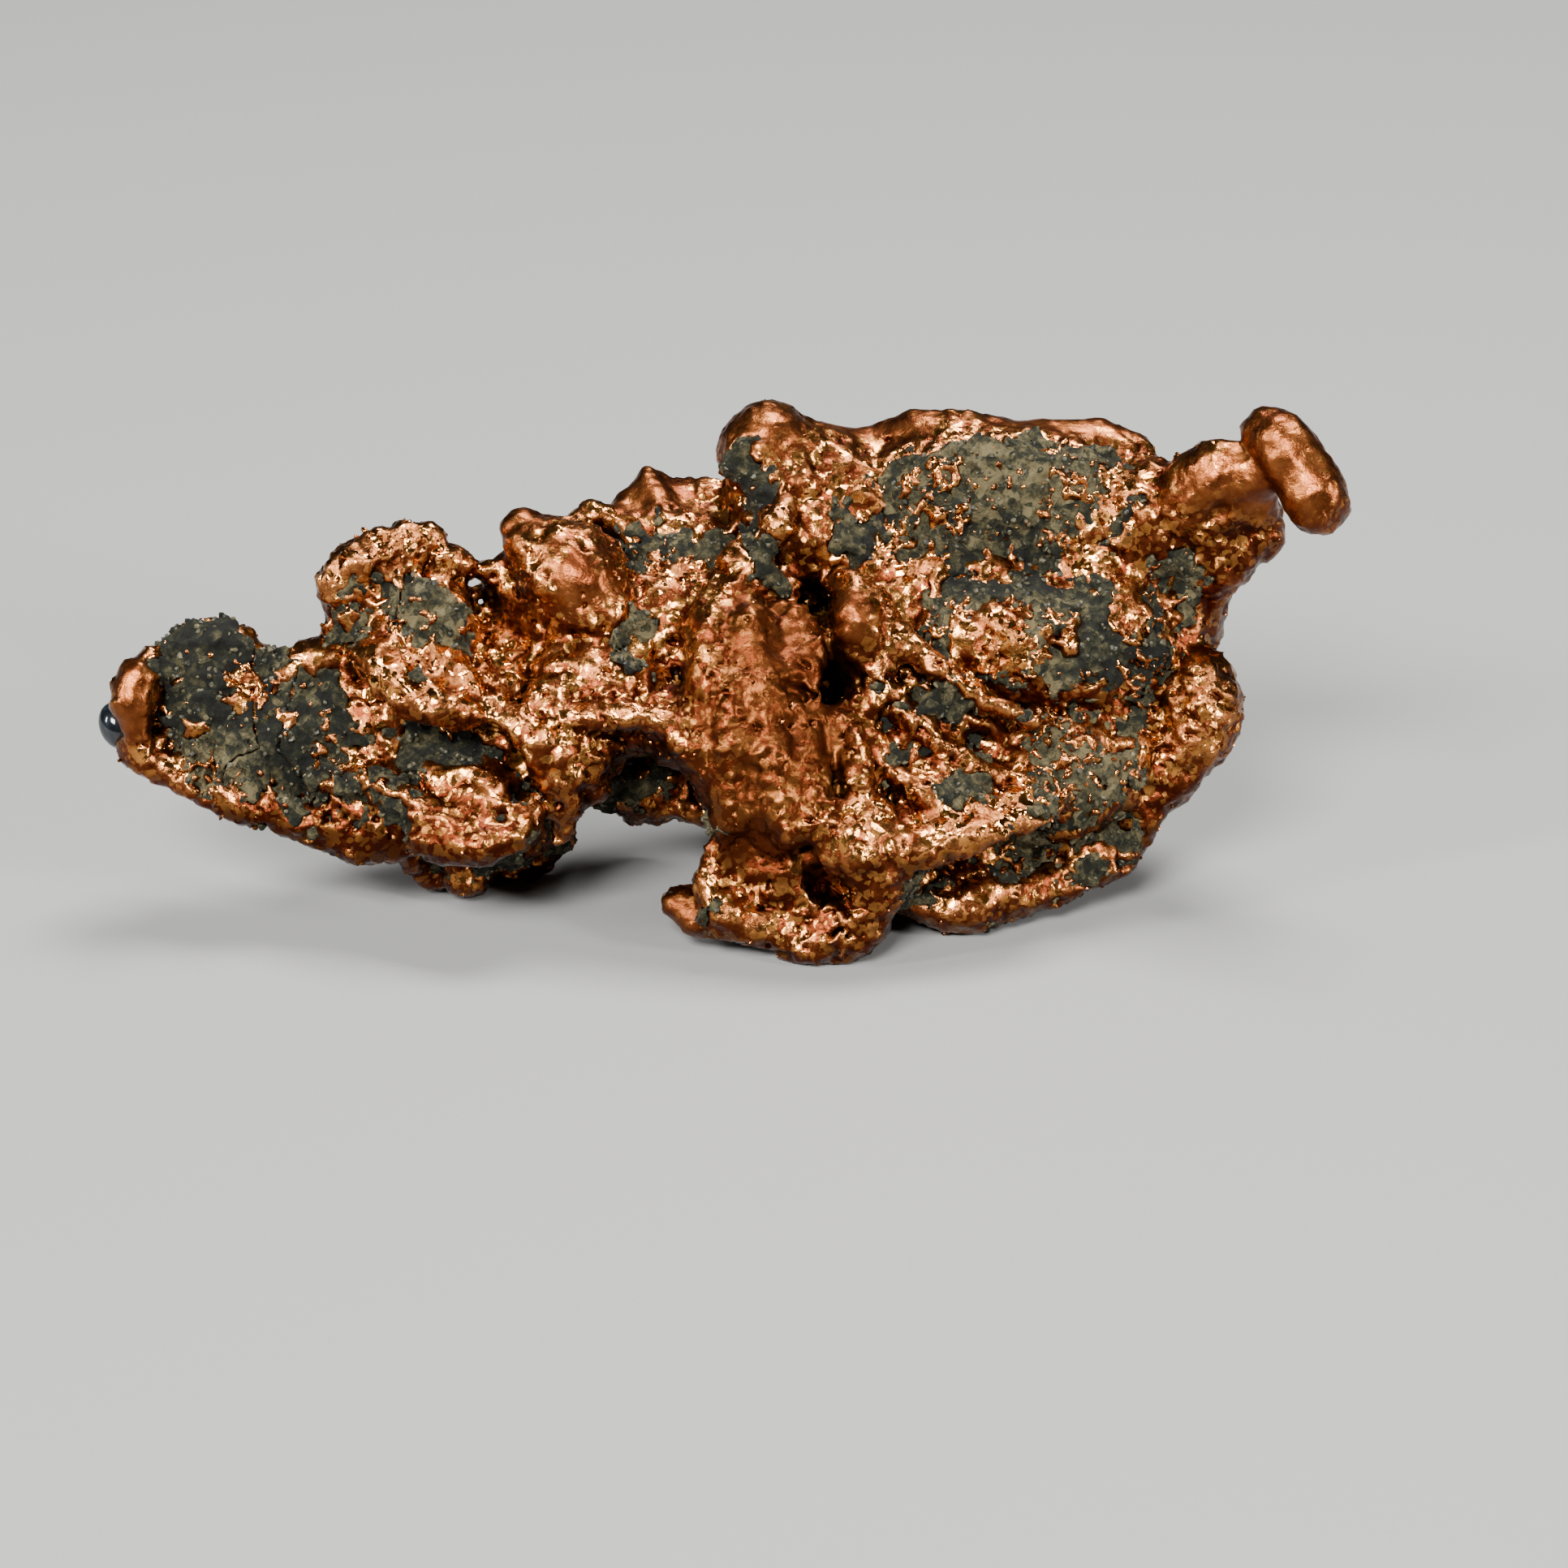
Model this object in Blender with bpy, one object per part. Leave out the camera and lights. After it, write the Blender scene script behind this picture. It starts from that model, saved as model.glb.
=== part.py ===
# Native copper nugget: one branching mass of copper with lumps of its host rock still set into it.
#
# The nugget is described lying in its own face plane, in millimetres: x runs along its length, y up
# its broad face and z out of that face. The finished nugget is then leaned back onto its three feet,
# and its origin is under the middle of its box, on the surface that it rests on.

import math

import bmesh
import bpy
import numpy as np
from mathutils import Matrix, Vector, noise

MILLIMETRE = 0.001            # the pieces are shaped in millimetres and scaled to metres at the end

LEAN = 25.8                   # degrees that the broad face leans back from upright
FOOT_LEVEL = -4.45            # height, before the nugget is set down, of the surface under its feet
GAP = 0.3                     # clearance between a rock and its pocket in the copper

SKIN_VOXEL = 0.22             # grid that melts the copper's lumps and ridges into one skin
SKIN_SOFTENING = 4            # smoothing passes that round off where they meet
COPPER_FACES = 6200           # triangles of the whole skin before the rocks are parted from it
TUBE_SIDES = 12
SLIVER = 0.02                 # edges shorter than this are merged away
SHARP_EDGE = 50               # degrees, from which an edge is shaded as sharp
FLOOR_BLOCK = (60.0, 60.0, 4.0)   # the block that takes the undersides of the feet off flat

SWELL_SIZE, SWELL_HEIGHT = 2.3, 0.34      # broad unevenness of the metal: wavelength and height
KNUCKLE_SIZE, KNUCKLE_HEIGHT = 0.95, 0.2  # the knuckles and dimples on top of that
ROCK_EDGE_SIZE, ROCK_EDGE_HEIGHT = 1.7, 0.4   # how the rocks' outlines wander
SMALL_ROCK = 1.5              # rocks with no radius over this get fewer faces

COPPER = {"name": "native_copper", "colour": (0.60, 0.24, 0.12), "metallic": 1.0, "roughness": 0.34}
ROCK = {"name": "host_rock", "colour": (0.13, 0.15, 0.12), "metallic": 0.0, "roughness": 0.85}
BEAD = {"name": "dark_bead_glass", "colour": (0.012, 0.014, 0.016), "metallic": 0.0, "roughness": 0.12}

# Each area has lumps (centre, radii, turn in the face plane in degrees) and ridges (points with
# their radius, joined by tapering rolls).
LEAF_LUMPS = (
    ((4.75, 5.3, -3.4), (7.2, 5.4, 2.9), -6),
    ((9.3, 5.8, -2.8), (4.6, 4.7, 2.2), -18),
    ((2.4, 2.95, -3.0), (4.4, 5.2, 3.0), 8),
    ((8.75, 1.7, -2.4), (4.2, 3.2, 1.9), 30),
    ((0.85, 8.1, -2.8), (3.0, 3.2, 2.4), 0),
    ((6.7, 9.05, -1.9), (4.4, 2.1, 1.7), -2),
    ((7.45, 4.3, -0.9), (3.7, 2.1, 1.9), -12),
    ((10.2, 4.7, -1.4), (2.2, 2.1, 1.6), -40),
    ((4.4, 1.65, -0.9), (2.6, 2.6, 2.0), -10),
    ((8.65, 0.15, -1.0), (2.9, 2.0, 1.6), 20),
    ((-0.65, 10.35, -1.9), (1.45, 1.6, 1.55), -20),
)
TOP_RIM_RIDGES = (
    ((0.6, 10.2, -2.4, 0.85), (1.9, 10.25, -3.0, 0.8), (3.05, 10.5, -3.0, 0.85),
     (4.2, 10.9, -2.8, 0.9), (5.7, 10.95, -2.7, 0.9), (7.25, 10.6, -2.9, 0.8),
     (8.3, 10.75, -2.9, 0.85), (9.7, 10.7, -2.8, 0.9), (10.7, 10.2, -2.7, 0.85), (11.35, 9.6, -2.5, 0.7)),
    ((-0.1, 9.45, -0.9, 0.75), (0.5, 10.25, -1.4, 0.7), (1.6, 10.0, -1.8, 0.55), (2.4, 9.25, -1.4, 0.5)),
    ((0.05, 8.7, 0.2, 0.4), (-0.2, 8.05, 0.5, 0.5), (-0.35, 7.6, 0.4, 0.4)),
)
STEM_LUMPS = (
    ((11.45, 8.25, -1.6), (1.7, 2.0, 1.6), -10),
    ((13.5, 7.2, -1.3), (1.35, 1.15, 1.3), 40),
    ((14.0, 8.4, -0.7), (1.1, 0.9, 0.75), 10),
)
STEM_RIDGES = (
    ((11.95, 8.25, -1.2, 1.2), (12.75, 8.65, -0.4, 1.15), (13.3, 9.2, 0.3, 0.95),
     (14.15, 9.35, 0.8, 0.85), (14.7, 9.55, 1.1, 0.85)),
    ((12.4, 9.6, 0.1, 0.6), (13.05, 9.8, 0.5, 0.6), (13.75, 9.95, 0.8, 0.6)),
    ((14.65, 10.7, 1.3, 0.85), (15.25, 10.15, 1.5, 1.0), (15.75, 9.25, 1.7, 1.0), (16.1, 8.55, 1.8, 1.0)),
    ((13.45, 7.7, -0.9, 0.9), (14.55, 7.8, -0.6, 0.8), (14.9, 7.65, -0.7, 0.6)),
)
RIGHT_EDGE_LUMPS = (
    ((12.9, 2.55, -1.3), (1.25, 1.6, 1.25), -12),
    ((7.75, -1.9, -2.2), (3.2, 1.5, 1.2), 16),
    ((5.5, -2.1, -1.6), (1.8, 1.45, 1.3), 0),
    ((4.0, -2.7, -1.0), (1.0, 0.95, 1.1), 0),
)
RIGHT_EDGE_RIDGES = (
    ((13.0, 6.55, -1.8, 0.85), (12.6, 5.7, -2.0, 0.7), (12.3, 4.45, -1.9, 0.75), (12.6, 3.65, -1.8, 0.8)),
    ((12.9, 1.4, -1.2, 0.95), (12.25, 0.8, -1.4, 0.9), (11.95, 0.05, -1.6, 0.85),
     (11.2, -0.5, -1.7, 0.85), (10.7, -1.5, -1.9, 0.8), (9.95, -2.2, -1.8, 0.85)),
    ((9.95, -2.2, -1.8, 0.85), (8.8, -2.85, -1.4, 0.8), (7.15, -3.35, -0.9, 0.75),
     (5.8, -3.85, -0.3, 0.8), (4.6, -3.85, -0.2, 0.75), (3.7, -3.5, 0.1, 0.7)),
)
SHELF_LUMPS = (((4.6, -0.85, 0.4), (2.4, 1.5, 1.2), 12),)
SHELF_RIDGES = (
    ((2.3, -2.05, 1.9, 0.85), (3.8, -2.0, 2.0, 0.6), (5.5, -1.6, 1.8, 0.5),
     (7.0, -1.15, 1.5, 0.45), (8.3, -0.6, 1.0, 0.4), (8.6, -0.45, 0.8, 0.35)),
    ((4.3, -1.6, 1.4, 0.6), (6.05, -0.95, 1.3, 0.5), (7.4, -0.45, 0.9, 0.45)),
)
COLUMN_LUMPS = (
    ((-0.4, 2.15, -0.8), (3.1, 4.4, 2.9), 4),
    ((-1.55, 4.15, -0.4), (1.9, 2.6, 2.2), 10),
    ((2.15, 4.85, 0.7), (0.95, 1.6, 1.1), -6),
    ((0.2, 3.8, 0.9), (0.9, 0.55, 0.8), -10),
)
COLUMN_RIDGES = (
    ((-2.45, 4.85, 1.2, 0.65), (-2.1, 3.1, 1.8, 0.8), (-1.5, 0.9, 2.2, 0.85), (-1.25, -0.85, 2.1, 0.75)),
    ((-0.9, 4.85, 1.5, 0.6), (-0.75, 2.85, 2.2, 0.75), (-0.4, 0.65, 2.5, 0.8), (0.2, -1.3, 2.4, 0.8)),
    ((0.85, 1.5, 1.9, 0.55), (1.1, 0.4, 2.3, 0.6), (1.3, -1.1, 2.5, 0.7), (1.8, -2.05, 2.3, 0.8)),
    ((2.1, 2.0, 1.7, 0.5), (2.1, 0.9, 2.2, 0.5), (2.3, -0.35, 2.3, 0.6), (2.9, -1.55, 2.2, 0.7)),
    ((1.9, 6.05, 0.6, 0.45), (2.6, 5.5, 0.9, 0.5), (2.9, 4.1, 0.9, 0.55), (2.6, 2.65, 1.1, 0.5)),
    ((-1.5, 6.9, 0.2, 0.55), (-0.9, 6.6, 0.6, 0.55), (-1.25, 5.6, 0.6, 0.6)),
)
FOOT_LUMPS = (
    ((0.45, -2.85, 0.2), (2.4, 1.95, 1.9), -20),
    ((1.1, -4.6, 0.7), (1.5, 0.95, 1.1), -6),
    ((-2.3, -4.05, 0.2), (0.9, 0.5, 0.6), -20),
)
FOOT_RIDGES = (
    ((2.95, -1.8, 1.9, 0.95), (2.8, -3.05, 1.5, 1.0), (2.35, -4.05, 1.1, 1.0), (1.6, -4.75, 0.9, 0.8)),
    ((-1.5, -1.15, 1.2, 0.4), (-2.15, -2.3, 1.3, 0.5), (-2.35, -2.95, 1.3, 0.6),
     (-1.9, -3.8, 1.4, 0.6), (-0.9, -4.45, 1.2, 0.6), (0.35, -4.8, 1.0, 0.6)),
    ((-3.1, -3.65, 0.4, 0.4), (-2.6, -4.25, 0.6, 0.4), (-1.5, -4.3, 0.8, 0.45)),
)
SHOULDER_LUMPS = (
    ((-6.3, 6.25, -0.1), (1.75, 1.7, 1.75), -35),
    ((-5.6, 5.15, 0.0), (1.7, 1.2, 1.5), -30),
    ((-7.2, 6.2, -1.2), (1.7, 2.0, 1.4), -15),
    ((-5.15, 2.9, -0.6), (2.9, 2.0, 2.4), -14),
    ((-3.45, 4.45, -1.6), (2.9, 2.6, 2.4), -15),
    ((-2.95, 6.8, -2.8), (2.6, 2.0, 2.0), -6),
    ((-3.25, 1.65, 0.9), (1.5, 1.1, 1.2), -30),
    ((-3.35, 8.4, -3.8), (1.9, 1.25, 1.2), -4),
    ((-4.25, 0.1, -3.7), (2.1, 1.25, 1.6), -6),
    ((-6.55, 1.3, -0.6), (1.7, 2.0, 1.9), 0),
)
SHOULDER_RIDGES = (
    ((-8.15, 7.85, -0.2, 0.6), (-7.8, 7.35, 0.0, 0.85), (-6.9, 6.9, 0.4, 1.15)),
    ((-7.25, 2.65, 1.3, 0.55), (-6.55, 2.0, 1.7, 0.5), (-5.05, 2.1, 2.1, 0.5),
     (-3.7, 1.85, 2.3, 0.5), (-2.6, 1.0, 2.4, 0.5), (-1.85, 0.0, 2.2, 0.5)),
    ((-6.2, 8.05, -1.9, 0.4), (-5.8, 8.25, -2.0, 0.45), (-5.1, 7.9, -2.2, 0.45)),
    ((-4.35, 9.45, -3.6, 0.4), (-4.6, 8.65, -3.2, 0.75), (-4.85, 7.7, -2.8, 0.95)),
    ((-4.35, 9.4, -3.6, 0.4), (-3.5, 9.45, -3.8, 0.5), (-2.2, 9.25, -3.6, 0.55)),
    ((-5.65, -0.05, -2.6, 0.45), (-4.5, -0.6, -2.8, 0.4), (-3.35, -0.8, -2.8, 0.4), (-2.4, -0.85, -2.4, 0.5)),
    ((-8.05, 1.5, 1.2, 0.6), (-7.3, 1.15, 1.6, 0.8), (-6.8, 0.15, 1.4, 0.7),
     (-6.6, -0.6, 0.9, 0.6), (-6.85, -1.6, 0.4, 0.4)),
    ((-6.6, 1.5, 1.3, 0.6), (-6.0, 0.65, 1.0, 0.6), (-5.75, -0.2, 0.4, 0.5)),
)
ARM_LUMPS = (
    ((-9.05, 1.7, -1.9), (3.4, 3.0, 2.3), 0),
    ((-12.55, 1.9, -1.5), (3.6, 2.5, 2.1), -8),
    ((-14.4, 1.65, -0.9), (2.1, 2.3, 1.7), -10),
    ((-12.4, 5.5, -0.9), (2.0, 1.7, 1.3), 18),
    ((-12.8, 6.65, -0.2), (1.5, 0.8, 0.9), 20),
    ((-10.6, 6.7, -0.9), (1.0, 0.75, 0.8), -20),
    ((-11.2, 4.8, -0.6), (1.7, 1.7, 1.5), -10),
    ((-12.1, 3.75, 0.3), (1.3, 0.95, 1.2), -25),
    ((-10.75, 3.25, 0.3), (1.6, 0.9, 1.3), -12),
    ((-8.9, 4.5, -2.3), (1.7, 2.4, 1.3), 0),
    ((-9.1, -0.85, 0.4), (1.6, 1.3, 1.5), 10),
    ((-10.15, 0.15, -0.2), (1.6, 1.4, 1.5), 0),
    ((-12.45, -0.5, -0.6), (2.6, 1.4, 1.7), -14),
    ((-9.35, -1.1, -2.6), (2.6, 1.6, 1.9), 4),
)
ARM_RIDGES = (
    ((-14.2, 3.8, -0.4, 0.75), (-14.7, 3.8, -0.4, 0.5), (-15.4, 3.35, -0.3, 0.4)),
    ((-13.75, 6.1, 0.0, 0.65), (-13.25, 6.8, 0.1, 0.65), (-12.75, 7.25, 0.0, 0.65),
     (-11.8, 7.55, -0.1, 0.6), (-10.95, 7.6, -0.3, 0.5), (-10.5, 7.55, -0.4, 0.3)),
    ((-10.3, 6.9, -0.5, 0.4), (-9.6, 6.6, -0.8, 0.34), (-8.9, 6.55, -0.8, 0.4)),
    ((-10.3, 5.7, -0.6, 0.5), (-10.05, 4.9, -0.6, 0.5)),
    ((-12.7, 3.8, 0.9, 0.55), (-12.0, 3.15, 1.5, 0.6), (-11.0, 2.65, 1.8, 0.6),
     (-10.15, 2.35, 1.7, 0.6), (-9.65, 2.15, 1.4, 0.45)),
    ((-9.35, 2.65, 0.6, 0.5), (-8.6, 2.0, 1.0, 0.5), (-7.8, 1.9, 1.2, 0.5)),
    ((-16.6, -0.6, 0.2, 0.6), (-15.6, -0.85, 0.2, 0.7), (-14.4, -1.25, 0.1, 0.8),
     (-13.15, -1.65, 0.0, 0.85), (-12.15, -1.4, -0.1, 0.75)),
    ((-14.05, 0.0, 1.0, 0.45), (-12.75, 0.1, 1.3, 0.45), (-11.5, -0.45, 1.5, 0.45),
     (-10.65, -1.1, 1.6, 0.5), (-10.0, -1.7, 1.8, 0.55), (-9.0, -1.9, 2.0, 0.55),
     (-8.1, -1.55, 1.8, 0.5), (-7.7, -0.85, 1.4, 0.45)),
    ((-11.7, -2.15, -1.8, 0.55), (-11.4, -2.65, -2.6, 0.5), (-11.05, -2.75, -3.2, 0.5)),
    ((-10.0, -2.75, -2.2, 0.55), (-9.45, -2.8, -4.0, 0.62), (-8.4, -2.6, -4.1, 0.62),
     (-7.2, -1.75, -3.4, 0.6)),
)
TIP_LUMPS = (
    ((-17.75, 2.65, -0.6), (2.1, 2.2, 1.5), 15),
    ((-17.8, 4.3, -0.3), (1.3, 0.9, 1.0), 0),
    ((-16.5, 2.15, -0.8), (1.5, 1.9, 1.3), 0),
    ((-16.95, 0.65, -0.4), (1.7, 1.4, 1.3), -20),
)
TIP_RIDGES = (
    ((-19.4, 3.9, 0.5, 0.5), (-19.65, 3.25, 0.8, 0.75), (-19.85, 2.4, 0.9, 0.75),
     (-19.95, 1.5, 0.7, 0.6), (-20.05, 1.0, 0.4, 0.5)),
    ((-19.95, 1.1, 0.2, 0.45), (-19.0, 0.35, 0.3, 0.5), (-17.85, -0.35, 0.4, 0.5), (-16.6, -0.7, 0.4, 0.55)),
)
REVERSE_LUMPS = (
    ((6.9, 4.35, -5.6), (3.6, 3.0, 1.9), -10),
    ((-0.15, 4.3, -4.9), (2.6, 3.0, 1.8), 10),
    ((-5.3, 3.5, -3.6), (2.4, 2.0, 1.6), 0),
    ((-9.95, 0.15, -4.2), (2.2, 1.5, 1.4), 0),
)
REVERSE_RIDGES = (
    ((4.0, 8.5, -5.0, 1.1), (6.6, 8.5, -5.4, 1.2), (9.2, 7.2, -5.0, 1.1), (10.75, 4.8, -4.6, 1.1)),
    ((5.35, 2.8, -6.2, 1.3), (7.25, 1.5, -7.0, 1.3), (8.2, 0.0, -8.0, 1.3)),
    ((-1.7, 6.15, -5.2, 1.0), (-0.15, 6.95, -5.6, 1.1), (1.65, 5.4, -5.8, 1.2), (1.95, 2.75, -5.6, 1.1)),
    ((0.9, 0.95, -4.4, 1.1), (-0.15, -0.85, -2.9, 1.1), (0.35, -2.65, -1.6, 0.9)),
    ((-8.35, 5.3, -3.4, 0.9), (-10.45, 4.25, -3.6, 1.0), (-11.45, 2.2, -3.6, 1.0), (-12.95, 1.7, -3.2, 0.9)),
)

# Hollows are cut out in the same way that ridges are built up.
HOLLOWS = {
    "upper hole beside the column": ((0.45, 6.6, 1.4, 0.35), (0.6, 6.0, 0.6, 0.55), (0.85, 5.3, 0.0, 0.5)),
    "middle hole": ((1.6, 3.0, 1.8, 0.4), (1.35, 2.75, 0.6, 0.55), (1.1, 2.95, -1.2, 0.6)),
    "slot into the middle hole": ((0.0, 3.15, 2.6, 0.25), (0.6, 2.85, 1.7, 0.3), (1.2, 2.5, 1.2, 0.3)),
    "hole in the foot": ((1.1, -2.9, 2.3, 0.5), (1.45, -3.05, 1.2, 0.6), (1.6, -3.25, -0.2, 0.6)),
    "dish in the foot": ((-1.25, -3.15, 2.4, 0.45), (-0.9, -3.4, 1.8, 0.6), (-0.15, -3.8, 1.7, 0.4)),
    "cavity under the shoulder": ((-4.05, 0.25, 2.4, 0.5), (-4.4, 0.15, 0.6, 1.0), (-3.95, 0.05, -1.0, 1.0)),
    "side of that cavity": ((-2.85, -0.2, 1.6, 0.45), (-3.3, -0.35, -0.2, 0.7)),
    "hollow in the pitted copper": ((5.05, 1.65, 1.2, 0.25), (5.95, 1.2, 0.6, 0.5), (6.95, 1.15, 0.6, 0.4)),
    "recess under the shelf": ((9.05, -1.6, 0.8, 0.3), (7.6, -1.95, 0.2, 0.6), (5.85, -2.6, 0.4, 0.6),
                               (4.55, -3.1, 0.9, 0.3)),
    "hollow of the arm": ((-8.6, 4.9, 0.4, 0.7), (-8.75, 3.65, 0.5, 0.95), (-9.15, 2.65, 0.3, 0.55)),
    "crevice by the shoulder": ((-7.3, 4.35, 1.0, 0.25), (-7.45, 3.4, 0.4, 0.35), (-7.5, 2.4, 0.8, 0.3)),
    "hollow under the arm's ledge": ((-11.3, 1.5, 1.2, 0.35), (-10.05, 1.25, 1.0, 0.6),
                                     (-8.8, 1.15, 1.2, 0.6), (-8.05, 0.4, 1.2, 0.45)),
    "groove behind the tip": ((-15.55, 3.35, 1.3, 0.2), (-15.6, 2.15, 1.2, 0.4), (-15.35, 0.9, 1.3, 0.35)),
    "recess under the stem": ((12.5, 8.1, 0.9, 0.3), (13.25, 8.2, 0.9, 0.4), (14.25, 8.45, 0.95, 0.3)),
}

# Each rock fills the part of the nugget that its own lump encloses.
ROCKS = {
    "rock_tip": ((-17.6, 2.45, 0.5), (1.75, 2.75, 1.4), 10),
    "rock_arm": ((-14.25, 1.75, 0.75), (1.3, 1.95, 1.1), -6),
    "rock_crest": ((-10.55, 5.05, 0.5), (1.15, 1.35, 0.95), 15),
    "rock_arm_hollow": ((-10.35, 1.1, 0.15), (1.55, 0.75, 0.75), 0),
    "rock_saddle": ((-3.65, 7.0, -1.4), (1.9, 1.2, 1.1), -6),
    "rock_knob": ((-1.1, 9.2, -0.6), (0.95, 1.1, 0.75), 10),
    "rock_upper_face": ((7.0, 8.75, -0.75), (4.2, 1.75, 1.25), -3),
    "rock_lower_face": ((8.2, 4.45, 0.5), (3.9, 1.75, 1.25), -10),
    "rock_right_face": ((9.3, 0.55, 0.2), (1.5, 1.7, 1.0), -14),
    "rock_shelf_recess": ((6.4, -2.75, -0.75), (2.3, 0.85, 0.8), 18),
    "rock_under_arm": ((-7.2, -1.75, -2.2), (0.9, 0.8, 1.0), 20),
    "rock_reverse_leaf": ((5.2, 6.6, -6.9), (2.9, 2.2, 1.3), -15),
    "rock_reverse_arm": ((-12.6, 3.4, -3.9), (1.9, 1.2, 1.1), -30),
}
BEAD_LUMP = ((-20.55, 1.8, -0.1), (0.55, 0.75, 0.6), 20)


def clear_scene():
    for item in list(bpy.data.objects):
        bpy.data.objects.remove(item, do_unlink=True)


def make_material(finish):
    material = bpy.data.materials.new(finish["name"])
    material.use_nodes = True
    shader = material.node_tree.nodes["Principled BSDF"]
    shader.inputs["Base Color"].default_value = (*finish["colour"], 1.0)
    shader.inputs["Metallic"].default_value = finish["metallic"]
    shader.inputs["Roughness"].default_value = finish["roughness"]
    material.diffuse_color = (*finish["colour"], 1.0)
    return material


def add_object(name, form):
    """Turn a bmesh into an object of the scene, and free the bmesh."""
    mesh = bpy.data.meshes.new(name)
    form.to_mesh(mesh)
    form.free()
    item = bpy.data.objects.new(name, mesh)
    bpy.context.collection.objects.link(item)
    return item


def apply_modifiers(item):
    """Replace an object's mesh by what its modifiers make of it."""
    depsgraph = bpy.context.evaluated_depsgraph_get()
    mesh = bpy.data.meshes.new_from_object(item.evaluated_get(depsgraph))
    item.modifiers.clear()
    item.data = mesh


def remove_object(item):
    bpy.data.objects.remove(item, do_unlink=True)


def add_lump(form, centre, radii, turn, grow=0.0, rounds=3):
    """An ellipsoid turned in the face plane."""
    place = (Matrix.Translation(centre) @ Matrix.Rotation(math.radians(turn), 4, "Z")
             @ Matrix.Diagonal((*(radius + grow for radius in radii), 1.0)))
    bmesh.ops.create_icosphere(form, subdivisions=rounds, radius=1.0, matrix=place)


def add_ridge(form, points, grow=0.0):
    """A roll of metal: a ball at each point and a tapered tube between neighbours."""
    for *centre, radius in points:
        bmesh.ops.create_icosphere(form, subdivisions=2, radius=radius + grow,
                                   matrix=Matrix.Translation(centre))
    for (*start, start_radius), (*end, end_radius) in zip(points, points[1:]):
        start, end = Vector(start), Vector(end)
        along = end - start
        place = Matrix.Translation((start + end) / 2) @ along.to_track_quat("Z", "Y").to_matrix().to_4x4()
        bmesh.ops.create_cone(form, cap_ends=True, cap_tris=True, segments=TUBE_SIDES,
                              radius1=start_radius + grow, radius2=end_radius + grow,
                              depth=along.length, matrix=place)


def melt_together(item, voxel, softening):
    """Fuse overlapping closed shells into one skin and round off where they meet."""
    remesh = item.modifiers.new("melt", "REMESH")
    remesh.mode = "VOXEL"
    remesh.voxel_size = voxel
    smooth = item.modifiers.new("soften", "SMOOTH")
    smooth.factor = 0.5
    smooth.iterations = softening
    apply_modifiers(item)


def cut(item, tool, operation="DIFFERENCE"):
    boolean = item.modifiers.new("cut", "BOOLEAN")
    boolean.operation = operation
    boolean.solver = "EXACT"
    boolean.object = tool
    apply_modifiers(item)


def thin_out(item, faces):
    """Reduce a skin to about the given number of triangles."""
    decimate = item.modifiers.new("thin out", "DECIMATE")
    decimate.ratio = min(1.0, faces / sum(len(polygon.vertices) - 2 for polygon in item.data.polygons))
    decimate.use_collapse_triangulate = True
    apply_modifiers(item)


def roughen(item, layers):
    """Push each point in or out along its normal by smooth noise of the given sizes and heights."""
    points = item.data.vertices
    moved = []
    for point in points:
        push = sum(height * noise.noise(point.co / size) for size, height in layers)
        moved.append(point.co + point.normal * push)
    for point, place in zip(points, moved):
        point.co = place


def keep_largest_shell(item):
    """Drop any crumb that the cutting has left loose."""
    form = bmesh.new()
    form.from_mesh(item.data)
    shells, seen = [], set()
    for seed in form.verts:
        if seed in seen:
            continue
        shell, front = [], [seed]
        seen.add(seed)
        while front:
            point = front.pop()
            shell.append(point)
            for edge in point.link_edges:
                other = edge.other_vert(point)
                if other not in seen:
                    seen.add(other)
                    front.append(other)
        shells.append(shell)
    shells.sort(key=len)
    loose = [point for shell in shells[:-1] for point in shell]
    bmesh.ops.delete(form, geom=loose, context="VERTS")
    form.to_mesh(item.data)
    form.free()


def tidy_triangles(item, merge):
    """Merge needle-thin leftovers and leave plain triangles."""
    form = bmesh.new()
    form.from_mesh(item.data)
    bmesh.ops.remove_doubles(form, verts=form.verts, dist=merge)
    bmesh.ops.dissolve_degenerate(form, edges=form.edges, dist=merge)
    bmesh.ops.triangulate(form, faces=form.faces)
    form.to_mesh(item.data)
    form.free()


def build_skin():
    """The whole outside of the nugget, copper and rock together."""
    form = bmesh.new()
    for lumps in (LEAF_LUMPS, STEM_LUMPS, RIGHT_EDGE_LUMPS, SHELF_LUMPS, COLUMN_LUMPS, FOOT_LUMPS,
                  SHOULDER_LUMPS, ARM_LUMPS, TIP_LUMPS, REVERSE_LUMPS):
        for lump in lumps:
            add_lump(form, *lump)
    for ridges in (TOP_RIM_RIDGES, STEM_RIDGES, RIGHT_EDGE_RIDGES, SHELF_RIDGES, COLUMN_RIDGES,
                   FOOT_RIDGES, SHOULDER_RIDGES, ARM_RIDGES, TIP_RIDGES, REVERSE_RIDGES):
        for ridge in ridges:
            add_ridge(form, ridge)
    skin = add_object("skin", form)
    melt_together(skin, SKIN_VOXEL, SKIN_SOFTENING)

    form = bmesh.new()
    for hollow in HOLLOWS.values():
        add_ridge(form, hollow)
    hollows = add_object("hollows", form)
    melt_together(hollows, SKIN_VOXEL / 2, SKIN_SOFTENING // 2)
    cut(skin, hollows)
    remove_object(hollows)

    melt_together(skin, SKIN_VOXEL, 1)
    roughen(skin, ((SWELL_SIZE, SWELL_HEIGHT), (KNUCKLE_SIZE, KNUCKLE_HEIGHT)))
    keep_largest_shell(skin)
    thin_out(skin, COPPER_FACES)
    return skin


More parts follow.
